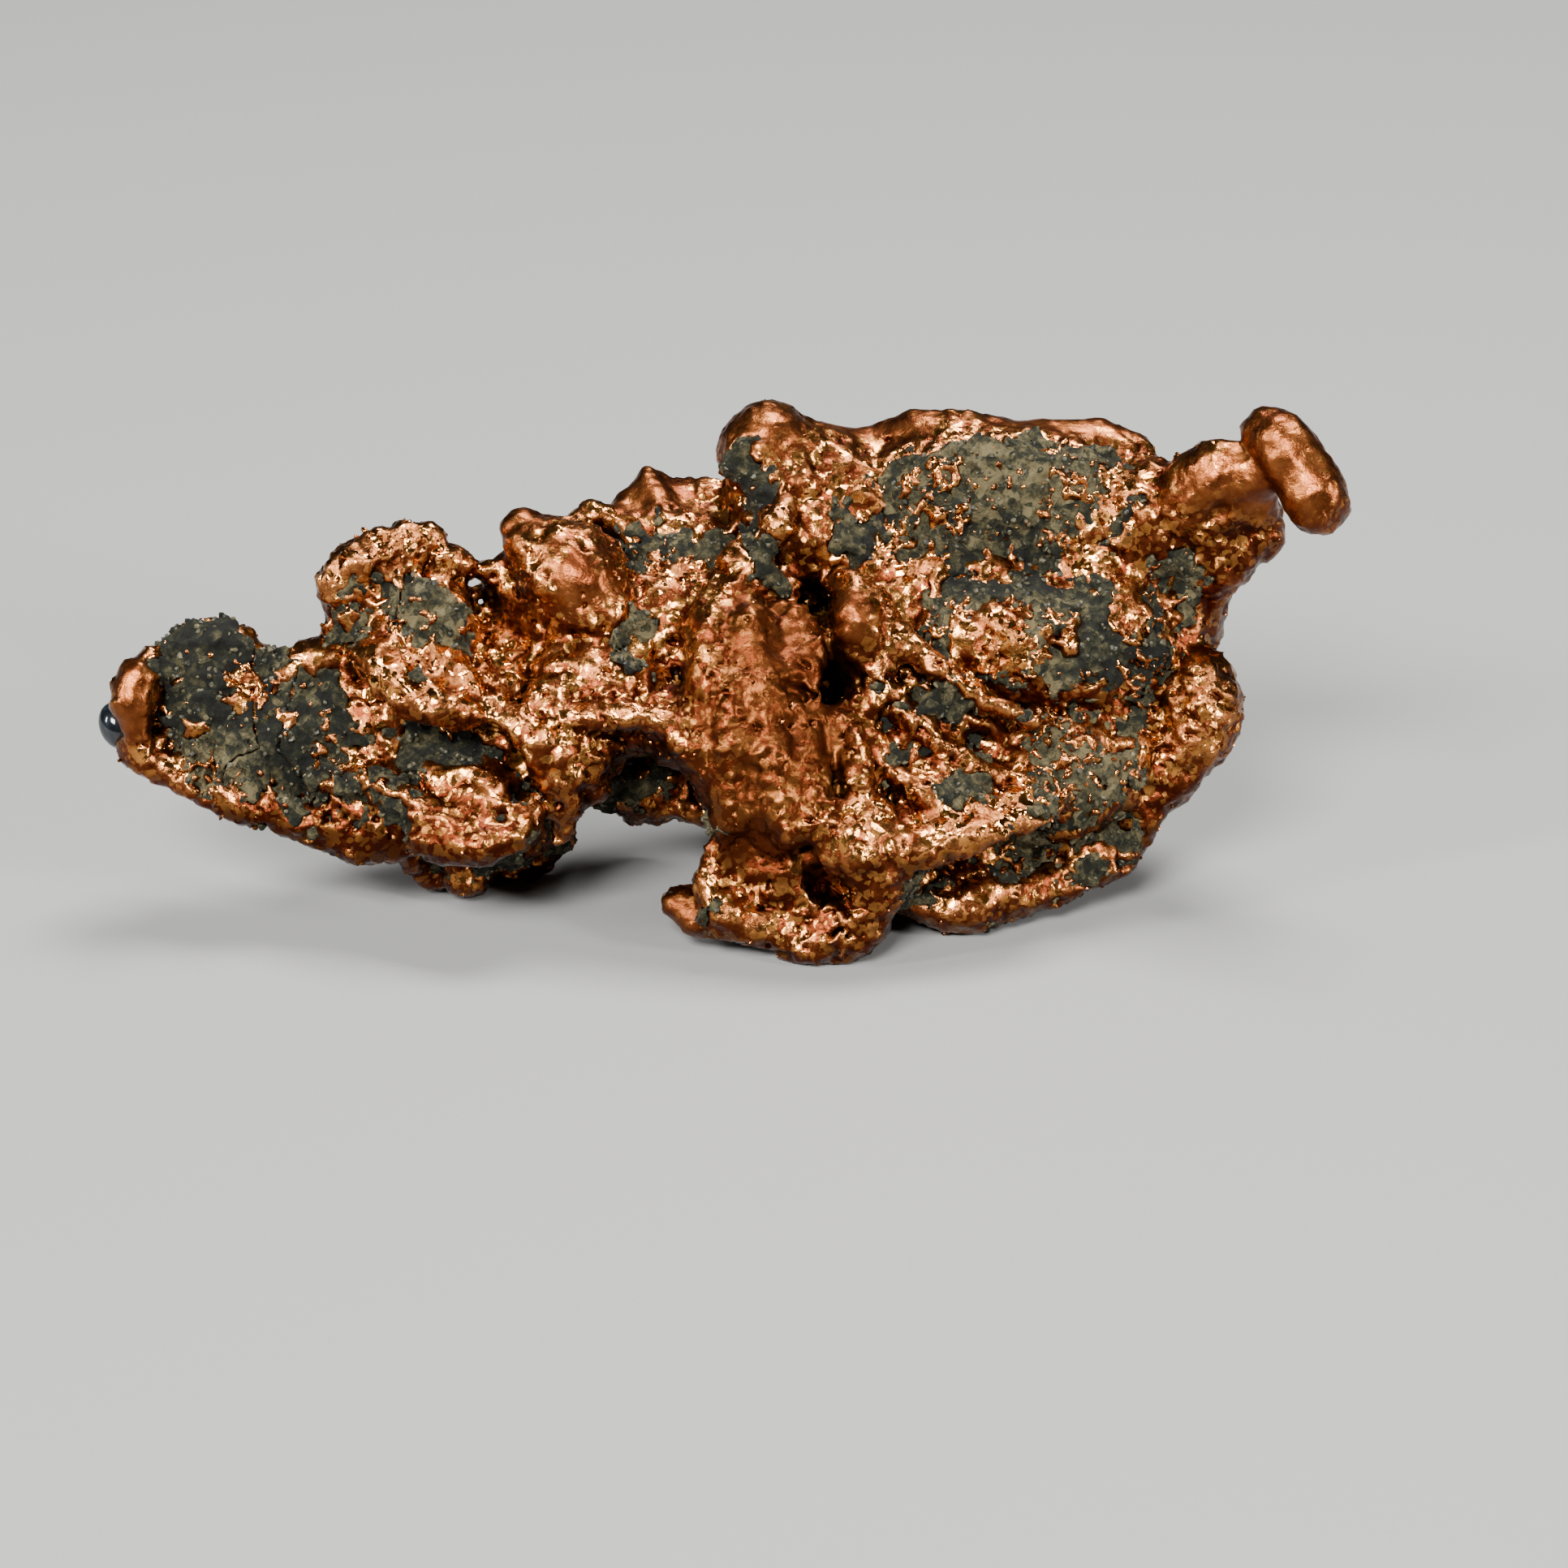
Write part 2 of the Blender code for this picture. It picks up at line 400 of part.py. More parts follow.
def flatten_feet(skin):
    """Take the undersides of the three feet off flat, where the nugget rests."""
    form = bmesh.new()
    lean = Matrix.Rotation(math.radians(90 - LEAN), 4, "X")
    middle = Matrix.Translation((0.0, 0.0, FOOT_LEVEL - FLOOR_BLOCK[2] / 2))
    place = lean.inverted() @ middle @ Matrix.Diagonal((*FLOOR_BLOCK, 1.0))
    bmesh.ops.create_cube(form, size=1.0, matrix=place)
    floor = add_object("floor", form)
    cut(skin, floor)
    remove_object(floor)
    keep_largest_shell(skin)


def enclosing_lump(name, lump, grow):
    """The closed form that a rock fills, with an uneven outline."""
    form = bmesh.new()
    fine = max(lump[1]) > SMALL_ROCK
    add_lump(form, *lump, grow=grow, rounds=2 if fine else 1)
    item = add_object(name, form)
    roughen(item, ((ROCK_EDGE_SIZE, ROCK_EDGE_HEIGHT),))
    return item


def part_rocks(skin):
    """Cut the rocks out of the skin, each with clearance round it, and return them."""
    rocks = []
    for name, lump in ROCKS.items():
        rock = enclosing_lump(name, lump, -GAP / 2)
        cut(rock, skin, "INTERSECT")
        keep_largest_shell(rock)
        rocks.append(rock)
        pocket = enclosing_lump("pocket", lump, GAP / 2)
        cut(skin, pocket)
        remove_object(pocket)
    return rocks


def part_bead(skin):
    """The small glassy bead, set into the end of the tip."""
    form = bmesh.new()
    add_lump(form, *BEAD_LUMP, grow=0.0, rounds=2)
    bead = add_object("dark_bead", form)
    form = bmesh.new()
    add_lump(form, *BEAD_LUMP, grow=GAP, rounds=2)
    socket = add_object("socket", form)
    cut(skin, socket)
    remove_object(socket)
    return bead


def set_down(pieces):
    """Lean the nugget back, stand it on its feet and centre it over the origin."""
    lean = Matrix.Rotation(math.radians(90 - LEAN), 4, "X")
    for piece in pieces:
        piece.data.transform(lean)
    corners = np.array([point.co for piece in pieces for point in piece.data.vertices])
    low, high = corners.min(axis=0), corners.max(axis=0)
    middle = Vector((-(low[0] + high[0]) / 2, -(low[1] + high[1]) / 2, -FOOT_LEVEL))
    for piece in pieces:
        piece.data.transform(Matrix.Scale(MILLIMETRE, 4) @ Matrix.Translation(middle))


def finish(piece, finish_of_it):
    piece.data.materials.clear()
    piece.data.materials.append(make_material(finish_of_it))
    piece.data.shade_smooth()
    piece.data.set_sharp_from_angle(angle=math.radians(SHARP_EDGE))


def main():
    clear_scene()
    copper = build_skin()
    flatten_feet(copper)
    rocks = part_rocks(copper)
    bead = part_bead(copper)
    keep_largest_shell(copper)
    copper.name = "copper_nugget"
    for piece in (copper, *rocks):
        tidy_triangles(piece, SLIVER)
    set_down((copper, *rocks, bead))
    finish(copper, COPPER)
    finish(bead, BEAD)
    for rock in rocks:
        finish(rock, ROCK)


main()
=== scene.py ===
import math

import bpy
import numpy as np
from mathutils import Matrix, Vector


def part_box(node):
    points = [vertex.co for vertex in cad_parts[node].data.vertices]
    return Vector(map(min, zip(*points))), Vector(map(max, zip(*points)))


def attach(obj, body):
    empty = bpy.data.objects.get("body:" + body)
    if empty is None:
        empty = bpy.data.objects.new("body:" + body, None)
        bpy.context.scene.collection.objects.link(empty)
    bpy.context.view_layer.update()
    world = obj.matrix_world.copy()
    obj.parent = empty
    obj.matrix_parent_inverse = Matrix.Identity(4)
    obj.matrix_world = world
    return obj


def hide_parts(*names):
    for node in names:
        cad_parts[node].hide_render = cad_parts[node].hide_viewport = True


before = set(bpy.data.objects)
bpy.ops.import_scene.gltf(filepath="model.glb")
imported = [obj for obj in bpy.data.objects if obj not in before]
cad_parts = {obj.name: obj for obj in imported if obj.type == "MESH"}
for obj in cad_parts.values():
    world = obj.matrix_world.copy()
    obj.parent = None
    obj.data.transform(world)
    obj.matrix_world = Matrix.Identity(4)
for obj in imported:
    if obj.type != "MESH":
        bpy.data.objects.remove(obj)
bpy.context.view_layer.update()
print("frame loaded")

# The nugget is shaped in its own face plane, in millimetres: x along its length, y up the broad
# face, z out of that face. The bead's solid ties that plane to the frame.
pose = {
    "leanDegrees": 25.8,          # how far the broad face leans back from upright
    "bead": ((-20.55, 1.8, -0.1), (0.55, 0.75, 0.6), 20),
}
millimetre = 0.001
perMetre = 1000                   # millimetres, for the scale of a pattern
leanTurn = Matrix.Rotation(math.radians(90 - pose["leanDegrees"]), 4, "X")
beadLow, beadHigh = (Vector(corner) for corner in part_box("dark_bead"))
beadOffset = (beadLow + beadHigh) / 2 - leanTurn @ Vector(pose["bead"][0]) * millimetre
toWorld = Matrix.Translation(beadOffset) @ leanTurn @ Matrix.Scale(millimetre, 4)
footLevel = -beadOffset.z / millimetre    # the floor's height before the nugget is set down


# ---- the nugget's form: lumps are (centre, radii, turn in the face plane), ridges are points with
# their radius, joined by tapering rolls
form = {
    "lumpBlend": 0.5,             # how softly lumps run into each other
    "ridgeBlend": 0.6,
    "creaseBlend": 0.16,          # for the knobs that keep a crease round them
    "hollowBlend": 0.22,
    "lumps": (
        # the broad leaf
        ((4.75, 5.3, -3.4), (7.2, 5.4, 2.9), -6),
        ((9.3, 5.8, -2.8), (4.6, 4.7, 2.2), -18),
        ((2.4, 2.95, -3.0), (4.4, 5.2, 3.0), 8),
        ((8.75, 1.7, -2.4), (4.2, 3.2, 1.9), 30),
        ((0.85, 8.1, -2.8), (3.0, 3.2, 2.4), 0),
        ((6.7, 9.05, -1.9), (4.4, 2.1, 1.7), -2),
        ((7.45, 4.3, -0.9), (3.7, 2.1, 1.9), -12),
        ((10.2, 4.7, -1.4), (2.2, 2.1, 1.6), -40),
        ((4.4, 1.65, -0.9), (2.6, 2.6, 2.0), -10),
        ((8.65, 0.15, -1.0), (2.9, 2.0, 1.6), 20),
        ((-0.65, 10.35, -1.9), (1.45, 1.6, 1.55), -20),
        # root of the stem, right edge and shelf
        ((11.45, 8.25, -1.6), (1.7, 2.0, 1.6), -10),
        ((13.5, 7.2, -1.3), (1.35, 1.15, 1.3), 40),
        ((14.0, 8.4, -0.7), (1.1, 0.9, 0.75), 10),
        ((14.1, 8.55, 0.1), (1.1, 0.75, 0.75), 10),
        ((4.0, -2.7, -1.0), (1.0, 0.95, 1.1), 0),
        ((12.9, 2.55, -1.3), (1.25, 1.6, 1.25), -12),
        ((7.75, -1.9, -2.2), (3.2, 1.5, 1.2), 16),
        ((5.5, -2.1, -1.6), (1.8, 1.45, 1.3), 0),
        ((4.6, -0.85, 0.4), (2.4, 1.5, 1.2), 12),
        ((3.5, 1.0, -0.1), (1.4, 2.1, 1.35), -10),
        # the column
        ((-0.4, 2.15, -0.8), (3.1, 4.4, 2.9), 4),
        ((-0.5, 1.2, 0.2), (2.4, 3.9, 2.6), 8),
        ((2.1, 0.3, 0.2), (1.3, 2.6, 2.3), 0),
        ((-1.55, 4.15, -0.4), (1.9, 2.6, 2.2), 10),
        ((2.15, 4.85, 0.7), (0.95, 1.6, 1.1), -6),
        ((0.2, 3.8, 0.9), (0.9, 0.55, 0.8), -10),
        # the foot
        ((0.45, -2.85, 0.2), (2.4, 1.95, 1.9), -20),
        ((1.1, -4.6, 0.7), (1.5, 0.95, 1.1), -6),
        ((-2.3, -4.05, 0.2), (0.9, 0.5, 0.6), -20),
        # the shoulder
        ((-6.3, 6.25, -0.1), (1.75, 1.7, 1.75), -35),
        ((-5.6, 5.15, 0.0), (1.7, 1.2, 1.5), -30),
        ((-7.2, 6.2, -1.2), (1.7, 2.0, 1.4), -15),
        ((-5.15, 2.9, -0.6), (2.9, 2.0, 2.4), -14),
        ((-3.45, 4.45, -1.6), (2.9, 2.6, 2.4), -15),
        ((-2.95, 6.8, -2.8), (2.6, 2.0, 2.0), -6),
        ((-3.25, 1.65, 0.9), (1.5, 1.1, 1.2), -30),
        ((-3.35, 8.4, -3.8), (1.9, 1.25, 1.2), -4),
        ((-4.25, 0.1, -3.7), (2.1, 1.25, 1.6), -6),
        ((-6.55, 1.3, -0.6), (1.7, 2.0, 1.9), 0),
        # the left arm
        ((-9.05, 1.7, -1.9), (3.4, 3.0, 2.3), 0),
        ((-12.55, 1.9, -1.5), (3.6, 2.5, 2.1), -8),
        ((-14.4, 1.65, -0.9), (2.1, 2.3, 1.7), -10),
        ((-12.4, 5.5, -0.9), (2.0, 1.7, 1.3), 18),
        ((-12.8, 6.65, -0.2), (1.5, 0.8, 0.9), 20),
        ((-10.6, 6.7, -0.9), (1.0, 0.75, 0.8), -20),
        ((-11.2, 4.8, -0.6), (1.7, 1.7, 1.5), -10),
        ((-12.1, 3.75, 0.3), (1.3, 0.95, 1.2), -25),
        ((-10.75, 3.25, 0.3), (1.6, 0.9, 1.3), -12),
        ((-8.9, 4.5, -2.3), (1.7, 2.4, 1.3), 0),
        ((-9.1, -0.85, 0.4), (1.6, 1.3, 1.5), 10),
        ((-10.15, 0.15, -0.2), (1.6, 1.4, 1.5), 0),
        ((-12.45, -0.5, -0.6), (2.6, 1.4, 1.7), -14),
        ((-9.35, -1.1, -2.6), (2.6, 1.6, 1.9), 4),
        # the tip
        ((-17.75, 2.65, -0.6), (2.1, 2.2, 1.5), 15),
        ((-17.8, 4.3, -0.3), (1.3, 0.9, 1.0), 0),
        ((-16.5, 2.15, -0.8), (1.5, 1.9, 1.3), 0),
        ((-16.95, 0.65, -0.4), (1.7, 1.4, 1.3), -20),
        # the reverse side
        ((6.9, 4.35, -5.6), (3.6, 3.0, 1.9), -10),
        ((-0.15, 4.3, -4.9), (2.6, 3.0, 1.8), 10),
        ((-5.3, 3.5, -3.6), (2.4, 2.0, 1.6), 0),
        ((-9.95, 0.15, -4.2), (2.2, 1.5, 1.4), 0),
    ),
    "ridges": (
        # rolled top rim
        ((0.6, 10.2, -2.4, 0.85), (1.9, 10.25, -3.0, 0.8), (3.05, 10.5, -3.0, 0.85),
         (4.2, 10.9, -2.8, 0.9), (5.7, 10.95, -2.7, 0.9), (7.25, 10.6, -2.9, 0.8),
         (8.3, 10.75, -2.9, 0.85), (9.7, 10.7, -2.8, 0.9), (10.7, 10.2, -2.7, 0.85),
         (11.35, 9.6, -2.5, 0.7)),
        ((-0.1, 9.45, -0.9, 0.75), (0.5, 10.25, -1.4, 0.7), (1.6, 10.0, -1.8, 0.55), (2.4, 9.25, -1.4, 0.5)),
        ((0.05, 8.7, 0.2, 0.4), (-0.2, 8.05, 0.5, 0.5), (-0.35, 7.6, 0.4, 0.4)),
        # stem and bean-shaped knob
        ((11.95, 8.25, -1.2, 1.2), (12.75, 8.65, -0.4, 1.15), (13.3, 9.2, 0.3, 0.95),
         (14.15, 9.35, 0.8, 0.85), (14.7, 9.55, 1.1, 0.85)),
        ((12.4, 9.6, 0.1, 0.6), (13.05, 9.8, 0.5, 0.6), (13.75, 9.95, 0.8, 0.6)),
        ((13.45, 7.7, -0.9, 0.9), (14.55, 7.8, -0.6, 0.8), (14.9, 7.65, -0.7, 0.6)),
        # right edge, down to the lower rim
        ((13.0, 6.55, -1.8, 0.85), (12.6, 5.7, -2.0, 0.7), (12.3, 4.45, -1.9, 0.75),
         (12.6, 3.65, -1.8, 0.8)),
        ((12.9, 1.4, -1.2, 0.95), (12.25, 0.8, -1.4, 0.9), (11.95, 0.05, -1.6, 0.85),
         (11.2, -0.5, -1.7, 0.85), (10.7, -1.5, -1.9, 0.8), (9.95, -2.2, -1.8, 0.85)),
        ((9.95, -2.2, -1.8, 0.85), (8.8, -2.85, -1.4, 0.8), (7.15, -3.35, -0.9, 0.75),
         (5.8, -3.85, -0.3, 0.8), (4.6, -3.85, -0.2, 0.75), (3.7, -3.5, 0.1, 0.7)),
        # slanting ridges across the leaf
        ((3.6, 4.4, 0.9, 0.35), (4.7, 3.6, 1.1, 0.4), (6.1, 2.5, 1.1, 0.35), (7.6, 1.95, 0.7, 0.25)),
        ((3.3, 2.6, 1.1, 0.3), (4.6, 1.5, 1.2, 0.35), (6.1, 0.4, 0.9, 0.3), (7.5, 0.1, 0.7, 0.25)),
        ((2.9, 0.6, 1.5, 0.3), (4.3, -0.3, 1.6, 0.35), (5.9, -0.7, 1.4, 0.3)),
        # overhanging shelf
        ((2.3, -2.05, 1.9, 0.85), (3.8, -2.0, 2.0, 0.6), (5.5, -1.6, 1.8, 0.5),
         (7.0, -1.15, 1.5, 0.45), (8.3, -0.6, 1.0, 0.4), (8.6, -0.45, 0.8, 0.35)),
        ((4.3, -1.6, 1.4, 0.6), (6.05, -0.95, 1.3, 0.5), (7.4, -0.45, 0.9, 0.45)),
        # ribs of the column
        ((-2.45, 4.85, 1.2, 0.65), (-2.1, 3.1, 1.8, 0.8), (-1.5, 0.9, 2.2, 0.85), (-1.25, -0.85, 2.1, 0.75)),
        ((-0.9, 4.85, 1.5, 0.6), (-0.75, 2.85, 2.2, 0.75), (-0.4, 0.65, 2.5, 0.8), (0.2, -1.3, 2.4, 0.8)),
        ((0.85, 1.5, 1.9, 0.55), (1.1, 0.4, 2.3, 0.6), (1.3, -1.1, 2.5, 0.7), (1.8, -2.05, 2.3, 0.8)),
        ((2.1, 2.0, 1.7, 0.5), (2.1, 0.9, 2.2, 0.5), (2.3, -0.35, 2.3, 0.6), (2.9, -1.55, 2.2, 0.7)),
        ((1.9, 6.05, 0.6, 0.45), (2.6, 5.5, 0.9, 0.5), (2.9, 4.1, 0.9, 0.55), (2.6, 2.65, 1.1, 0.5)),
        ((-1.5, 6.9, 0.2, 0.55), (-0.9, 6.6, 0.6, 0.55), (-1.25, 5.6, 0.6, 0.6)),
        # foot
        ((2.95, -1.8, 1.9, 0.95), (2.8, -3.05, 1.5, 1.0), (2.35, -4.05, 1.1, 1.0), (1.6, -4.75, 0.9, 0.8)),
        ((-1.5, -1.15, 1.2, 0.4), (-2.15, -2.3, 1.3, 0.5), (-2.35, -2.95, 1.3, 0.6),
         (-1.9, -3.8, 1.4, 0.6), (-0.9, -4.45, 1.2, 0.6), (0.35, -4.8, 1.0, 0.6)),
        ((-3.1, -3.65, 0.4, 0.4), (-2.6, -4.25, 0.6, 0.4), (-1.5, -4.3, 0.8, 0.45)),
        # shoulder, its pointed knob and pitted flank
        ((-8.15, 7.85, -0.2, 0.6), (-7.8, 7.35, 0.0, 0.85), (-6.9, 6.9, 0.4, 1.15)),
        ((-7.25, 2.65, 1.3, 0.55), (-6.55, 2.0, 1.7, 0.5), (-5.05, 2.1, 2.1, 0.5),
         (-3.7, 1.85, 2.3, 0.5), (-2.6, 1.0, 2.4, 0.5), (-1.85, 0.0, 2.2, 0.5)),
        ((-6.2, 8.05, -1.9, 0.4), (-5.8, 8.25, -2.0, 0.45), (-5.1, 7.9, -2.2, 0.45)),
        ((-4.35, 9.75, -3.6, 0.25), (-4.75, 8.75, -3.2, 0.65), (-5.1, 7.8, -2.8, 0.85)),
        ((-4.3, 9.75, -3.5, 0.25), (-4.0, 8.9, -2.7, 0.4), (-3.6, 8.0, -2.1, 0.5)),
        ((-4.2, 9.5, -3.7, 0.3), (-3.4, 9.35, -3.8, 0.45), (-2.2, 9.2, -3.6, 0.5)),
        ((-5.65, -0.05, -2.6, 0.45), (-4.5, -0.6, -2.8, 0.4), (-3.35, -0.8, -2.8, 0.4),
         (-2.4, -0.85, -2.4, 0.5)),
        ((-8.05, 1.5, 1.2, 0.6), (-7.3, 1.15, 1.6, 0.8), (-6.8, 0.15, 1.4, 0.7),
         (-6.6, -0.6, 0.9, 0.6), (-6.85, -1.6, 0.4, 0.4)),
        ((-6.6, 1.5, 1.3, 0.6), (-6.0, 0.65, 1.0, 0.6), (-5.75, -0.2, 0.4, 0.5)),
        # left arm: crest, ledges and the lips below
        ((-14.2, 3.8, -0.4, 0.75), (-14.7, 3.8, -0.4, 0.5), (-15.4, 3.35, -0.3, 0.4)),
        ((-13.75, 6.1, 0.0, 0.65), (-13.25, 6.8, 0.1, 0.65), (-12.75, 7.25, 0.0, 0.65),
         (-11.8, 7.55, -0.1, 0.6), (-10.95, 7.6, -0.3, 0.5), (-10.5, 7.55, -0.4, 0.3)),
        ((-10.3, 6.9, -0.5, 0.4), (-9.6, 6.6, -0.8, 0.3), (-8.9, 6.55, -0.8, 0.4)),
        ((-10.3, 5.7, -0.6, 0.5), (-10.05, 4.9, -0.6, 0.5)),
        ((-12.7, 3.8, 0.9, 0.55), (-12.0, 3.15, 1.5, 0.6), (-11.0, 2.65, 1.8, 0.6),
         (-10.15, 2.35, 1.7, 0.6), (-9.65, 2.15, 1.4, 0.45)),
        ((-9.35, 2.65, 0.6, 0.5), (-8.6, 2.0, 1.0, 0.5), (-7.8, 1.9, 1.2, 0.5)),
        ((-16.6, -0.6, 0.2, 0.6), (-15.6, -0.85, 0.2, 0.7), (-14.4, -1.25, 0.1, 0.8),
         (-13.15, -1.65, 0.0, 0.85), (-12.15, -1.4, -0.1, 0.75)),
        ((-14.05, 0.0, 1.0, 0.45), (-12.75, 0.1, 1.3, 0.45), (-11.5, -0.45, 1.5, 0.45),
         (-10.65, -1.1, 1.6, 0.5), (-10.0, -1.7, 1.8, 0.55), (-9.0, -1.9, 2.0, 0.55),
         (-8.1, -1.55, 1.8, 0.5), (-7.7, -0.85, 1.4, 0.45)),
        ((-11.7, -2.15, -1.8, 0.55), (-11.4, -2.65, -2.6, 0.5), (-11.05, -2.75, -3.2, 0.5)),
        ((-10.0, -2.75, -2.2, 0.55), (-9.45, -2.8, -4.0, 0.62), (-8.4, -2.6, -4.1, 0.62),
         (-7.2, -1.75, -3.4, 0.6)),
        # tip
        ((-19.4, 3.9, 0.5, 0.5), (-19.65, 3.25, 0.8, 0.75), (-19.85, 2.4, 0.9, 0.75),
         (-19.8, 1.5, 0.7, 0.5), (-19.8, 1.0, 0.4, 0.4)),
        ((-19.95, 1.1, 0.2, 0.45), (-19.0, 0.35, 0.3, 0.5), (-17.85, -0.35, 0.4, 0.5),
         (-16.6, -0.7, 0.4, 0.55)),
        # reverse side
        ((4.0, 8.5, -5.0, 1.1), (6.6, 8.5, -5.4, 1.2), (9.2, 7.2, -5.0, 1.1), (10.75, 4.8, -4.6, 1.1)),
        ((5.35, 2.8, -6.2, 1.3), (7.25, 1.5, -7.0, 1.3), (8.2, 0.0, -8.0, 1.3)),
        ((-1.7, 6.15, -5.2, 1.0), (-0.15, 6.95, -5.6, 1.1), (1.65, 5.4, -5.8, 1.2), (1.95, 2.75, -5.6, 1.1)),
        ((0.9, 0.95, -4.4, 1.1), (-0.15, -0.85, -2.9, 1.1), (0.35, -2.65, -1.6, 0.9)),
        ((-8.35, 5.3, -3.4, 0.9), (-10.45, 4.25, -3.6, 1.0), (-11.45, 2.2, -3.6, 1.0),
         (-12.95, 1.7, -3.2, 0.9)),
    ),
    "creased": (
        # bean at the end of the stem, nub over the column's hole, small lumps along the top, finger
        ((14.75, 10.7, 1.3, 0.88), (15.0, 10.4, 1.5, 1.0), (15.35, 9.9, 1.75, 1.06), (15.7, 9.35, 1.9, 1.04),
         (15.95, 8.85, 1.95, 1.06), (16.15, 8.45, 1.9, 0.98)),
        ((0.15, 8.6, 0.5, 0.42), (-0.1, 7.95, 0.85, 0.5), (-0.25, 7.55, 0.75, 0.4)),
        ((-6.3, 8.0, -1.7, 0.42), (-6.0, 8.3, -1.8, 0.44)),
        ((-5.4, 8.1, -1.9, 0.45), (-5.1, 7.8, -2.0, 0.42)),
        ((-3.2, -3.7, 0.5, 0.42), (-2.7, -4.2, 0.7, 0.45), (-1.6, -4.35, 0.9, 0.45)),
        ((-10.9, -1.75, 1.5, 0.5), (-10.1, -1.95, 1.8, 0.55), (-9.1, -2.05, 2.0, 0.6),
         (-8.2, -1.65, 1.9, 0.5)),
        ((-11.6, 2.45, 1.6, 0.5), (-10.6, 2.25, 1.9, 0.5), (-9.9, 2.2, 1.6, 0.42)),
        ((2.2, 5.6, 1.1, 0.6), (2.35, 4.9, 1.25, 0.72), (2.2, 4.1, 1.2, 0.6)),
    ),
    "hollows": (
        # holes beside the column
        ((0.55, 6.6, 1.6, 0.5), (0.65, 6.0, 0.8, 0.7), (0.75, 5.25, 0.4, 0.62), (0.6, 5.7, -1.8, 0.8)),
        ((0.85, 6.5, 0.8, 0.3), (1.2, 6.65, 0.2, 0.3)),
        ((1.55, 3.25, 2.4, 0.5), (1.45, 2.95, 0.6, 0.62), (1.2, 3.0, -1.4, 0.7)),
        ((-0.1, 3.15, 2.9, 0.2), (0.45, 2.9, 2.3, 0.28), (1.2, 2.55, 1.6, 0.34), (2.4, 2.5, 1.7, 0.22)),
        ((2.75, 1.9, 1.8, 0.2), (2.75, 1.1, 1.7, 0.27), (2.8, 0.4, 1.7, 0.2)),
        # holes in the foot
        ((1.1, -2.9, 2.3, 0.5), (1.45, -3.05, 1.2, 0.6), (1.6, -3.25, -0.2, 0.6)),
        ((1.7, -3.4, 2.0, 0.3), (1.95, -3.8, 1.6, 0.25)),
        ((1.8, -4.6, 1.9, 0.25), (1.7, -4.55, 0.9, 0.3)),
        ((-1.25, -3.15, 2.5, 0.35), (-0.9, -3.4, 2.1, 0.45), (-0.15, -3.8, 2.0, 0.35)),
        # cavity under the shoulder, crevice and slot beside it
        ((-4.05, 0.25, 2.4, 0.5), (-4.4, 0.15, 0.6, 1.0), (-3.95, 0.05, -1.0, 1.0)),
        ((-2.85, -0.2, 1.6, 0.45), (-3.3, -0.35, -0.2, 0.7)),
        ((-7.25, 4.9, 0.9, 0.22), (-7.5, 3.9, 0.2, 0.36), (-7.8, 2.9, 0.2, 0.36), (-7.9, 2.2, 0.8, 0.25)),
        ((-6.95, 8.45, -0.6, 0.3), (-6.6, 8.2, -1.0, 0.3)),
        # leaf: pitted hollow, crevice across the rock, recess under the shelf and under the stem
        ((5.05, 1.65, 1.2, 0.25), (5.95, 1.2, 0.6, 0.5), (6.95, 1.15, 0.6, 0.4)),
        ((4.1, 6.3, 0.6, 0.15), (5.85, 6.15, 0.4, 0.2), (8.35, 6.45, 0.2, 0.15)),
        ((9.05, -1.6, 0.8, 0.3), (7.6, -1.95, 0.2, 0.6), (5.85, -2.6, 0.4, 0.6), (4.55, -3.1, 0.9, 0.3)),
        ((12.5, 8.1, 0.9, 0.3), (13.25, 8.2, 0.9, 0.35)),
        # arm
        ((-8.6, 4.9, 0.6, 0.4), (-8.75, 3.65, 1.0, 0.6), (-9.15, 2.75, 0.9, 0.35)),
        ((-11.3, 1.5, 1.2, 0.35), (-10.05, 1.25, 1.0, 0.6), (-8.8, 1.15, 1.2, 0.6), (-8.05, 0.4, 1.2, 0.45)),
        ((-8.05, -0.2, 1.2, 0.4), (-7.75, -0.45, 0.8, 0.5)),
        ((-15.55, 3.35, 1.3, 0.2), (-15.6, 2.15, 1.2, 0.35), (-15.35, 0.9, 1.3, 0.3),
         (-15.15, 0.0, 1.2, 0.2)),
        ((-13.0, 2.0, 1.5, 0.2), (-13.25, 2.6, 1.4, 0.35)),
        ((-10.15, 7.45, 0.2, 0.25), (-10.15, 7.7, -0.6, 0.3)),
        ((-9.45, 6.2, 0.4, 0.15), (-9.7, 6.35, -3.0, 0.15)),
        ((-9.3, 5.65, 0.4, 0.1), (-9.55, 5.8, -3.0, 0.15)),
    ),
}

# Where tumbling has left the copper smooth: the knobs and the rolled rims.
wornPlaces = (
    ((15.4, 9.7, 1.6), (2.1, 2.1, 1.8), 0),
    ((13.2, 9.4, 0.4), (1.4, 1.0, 1.2), 0),
    ((-0.6, 10.9, -1.8), (1.5, 1.1, 1.7), 0),
    ((-6.2, 6.3, 1.0), (1.2, 0.95, 1.4), -35),
    ((-8.0, 7.9, -0.2), (0.9, 0.8, 1.0), 0),
    ((-19.9, 2.7, 1.3), (0.6, 1.5, 1.0), 0),
    ((2.2, 5.2, 1.7), (0.6, 0.8, 0.7), 0),
    ((-4.4, 8.9, -3.1), (1.5, 1.2, 1.6), 0),
    ((-3.0, -3.95, 0.5), (0.8, 0.6, 0.8), 0),
    ((3.2, 11.3, -3.2), (3.0, 0.8, 1.7), 0),
    ((8.6, 11.1, -3.2), (3.2, 0.8, 1.7), -4),
)

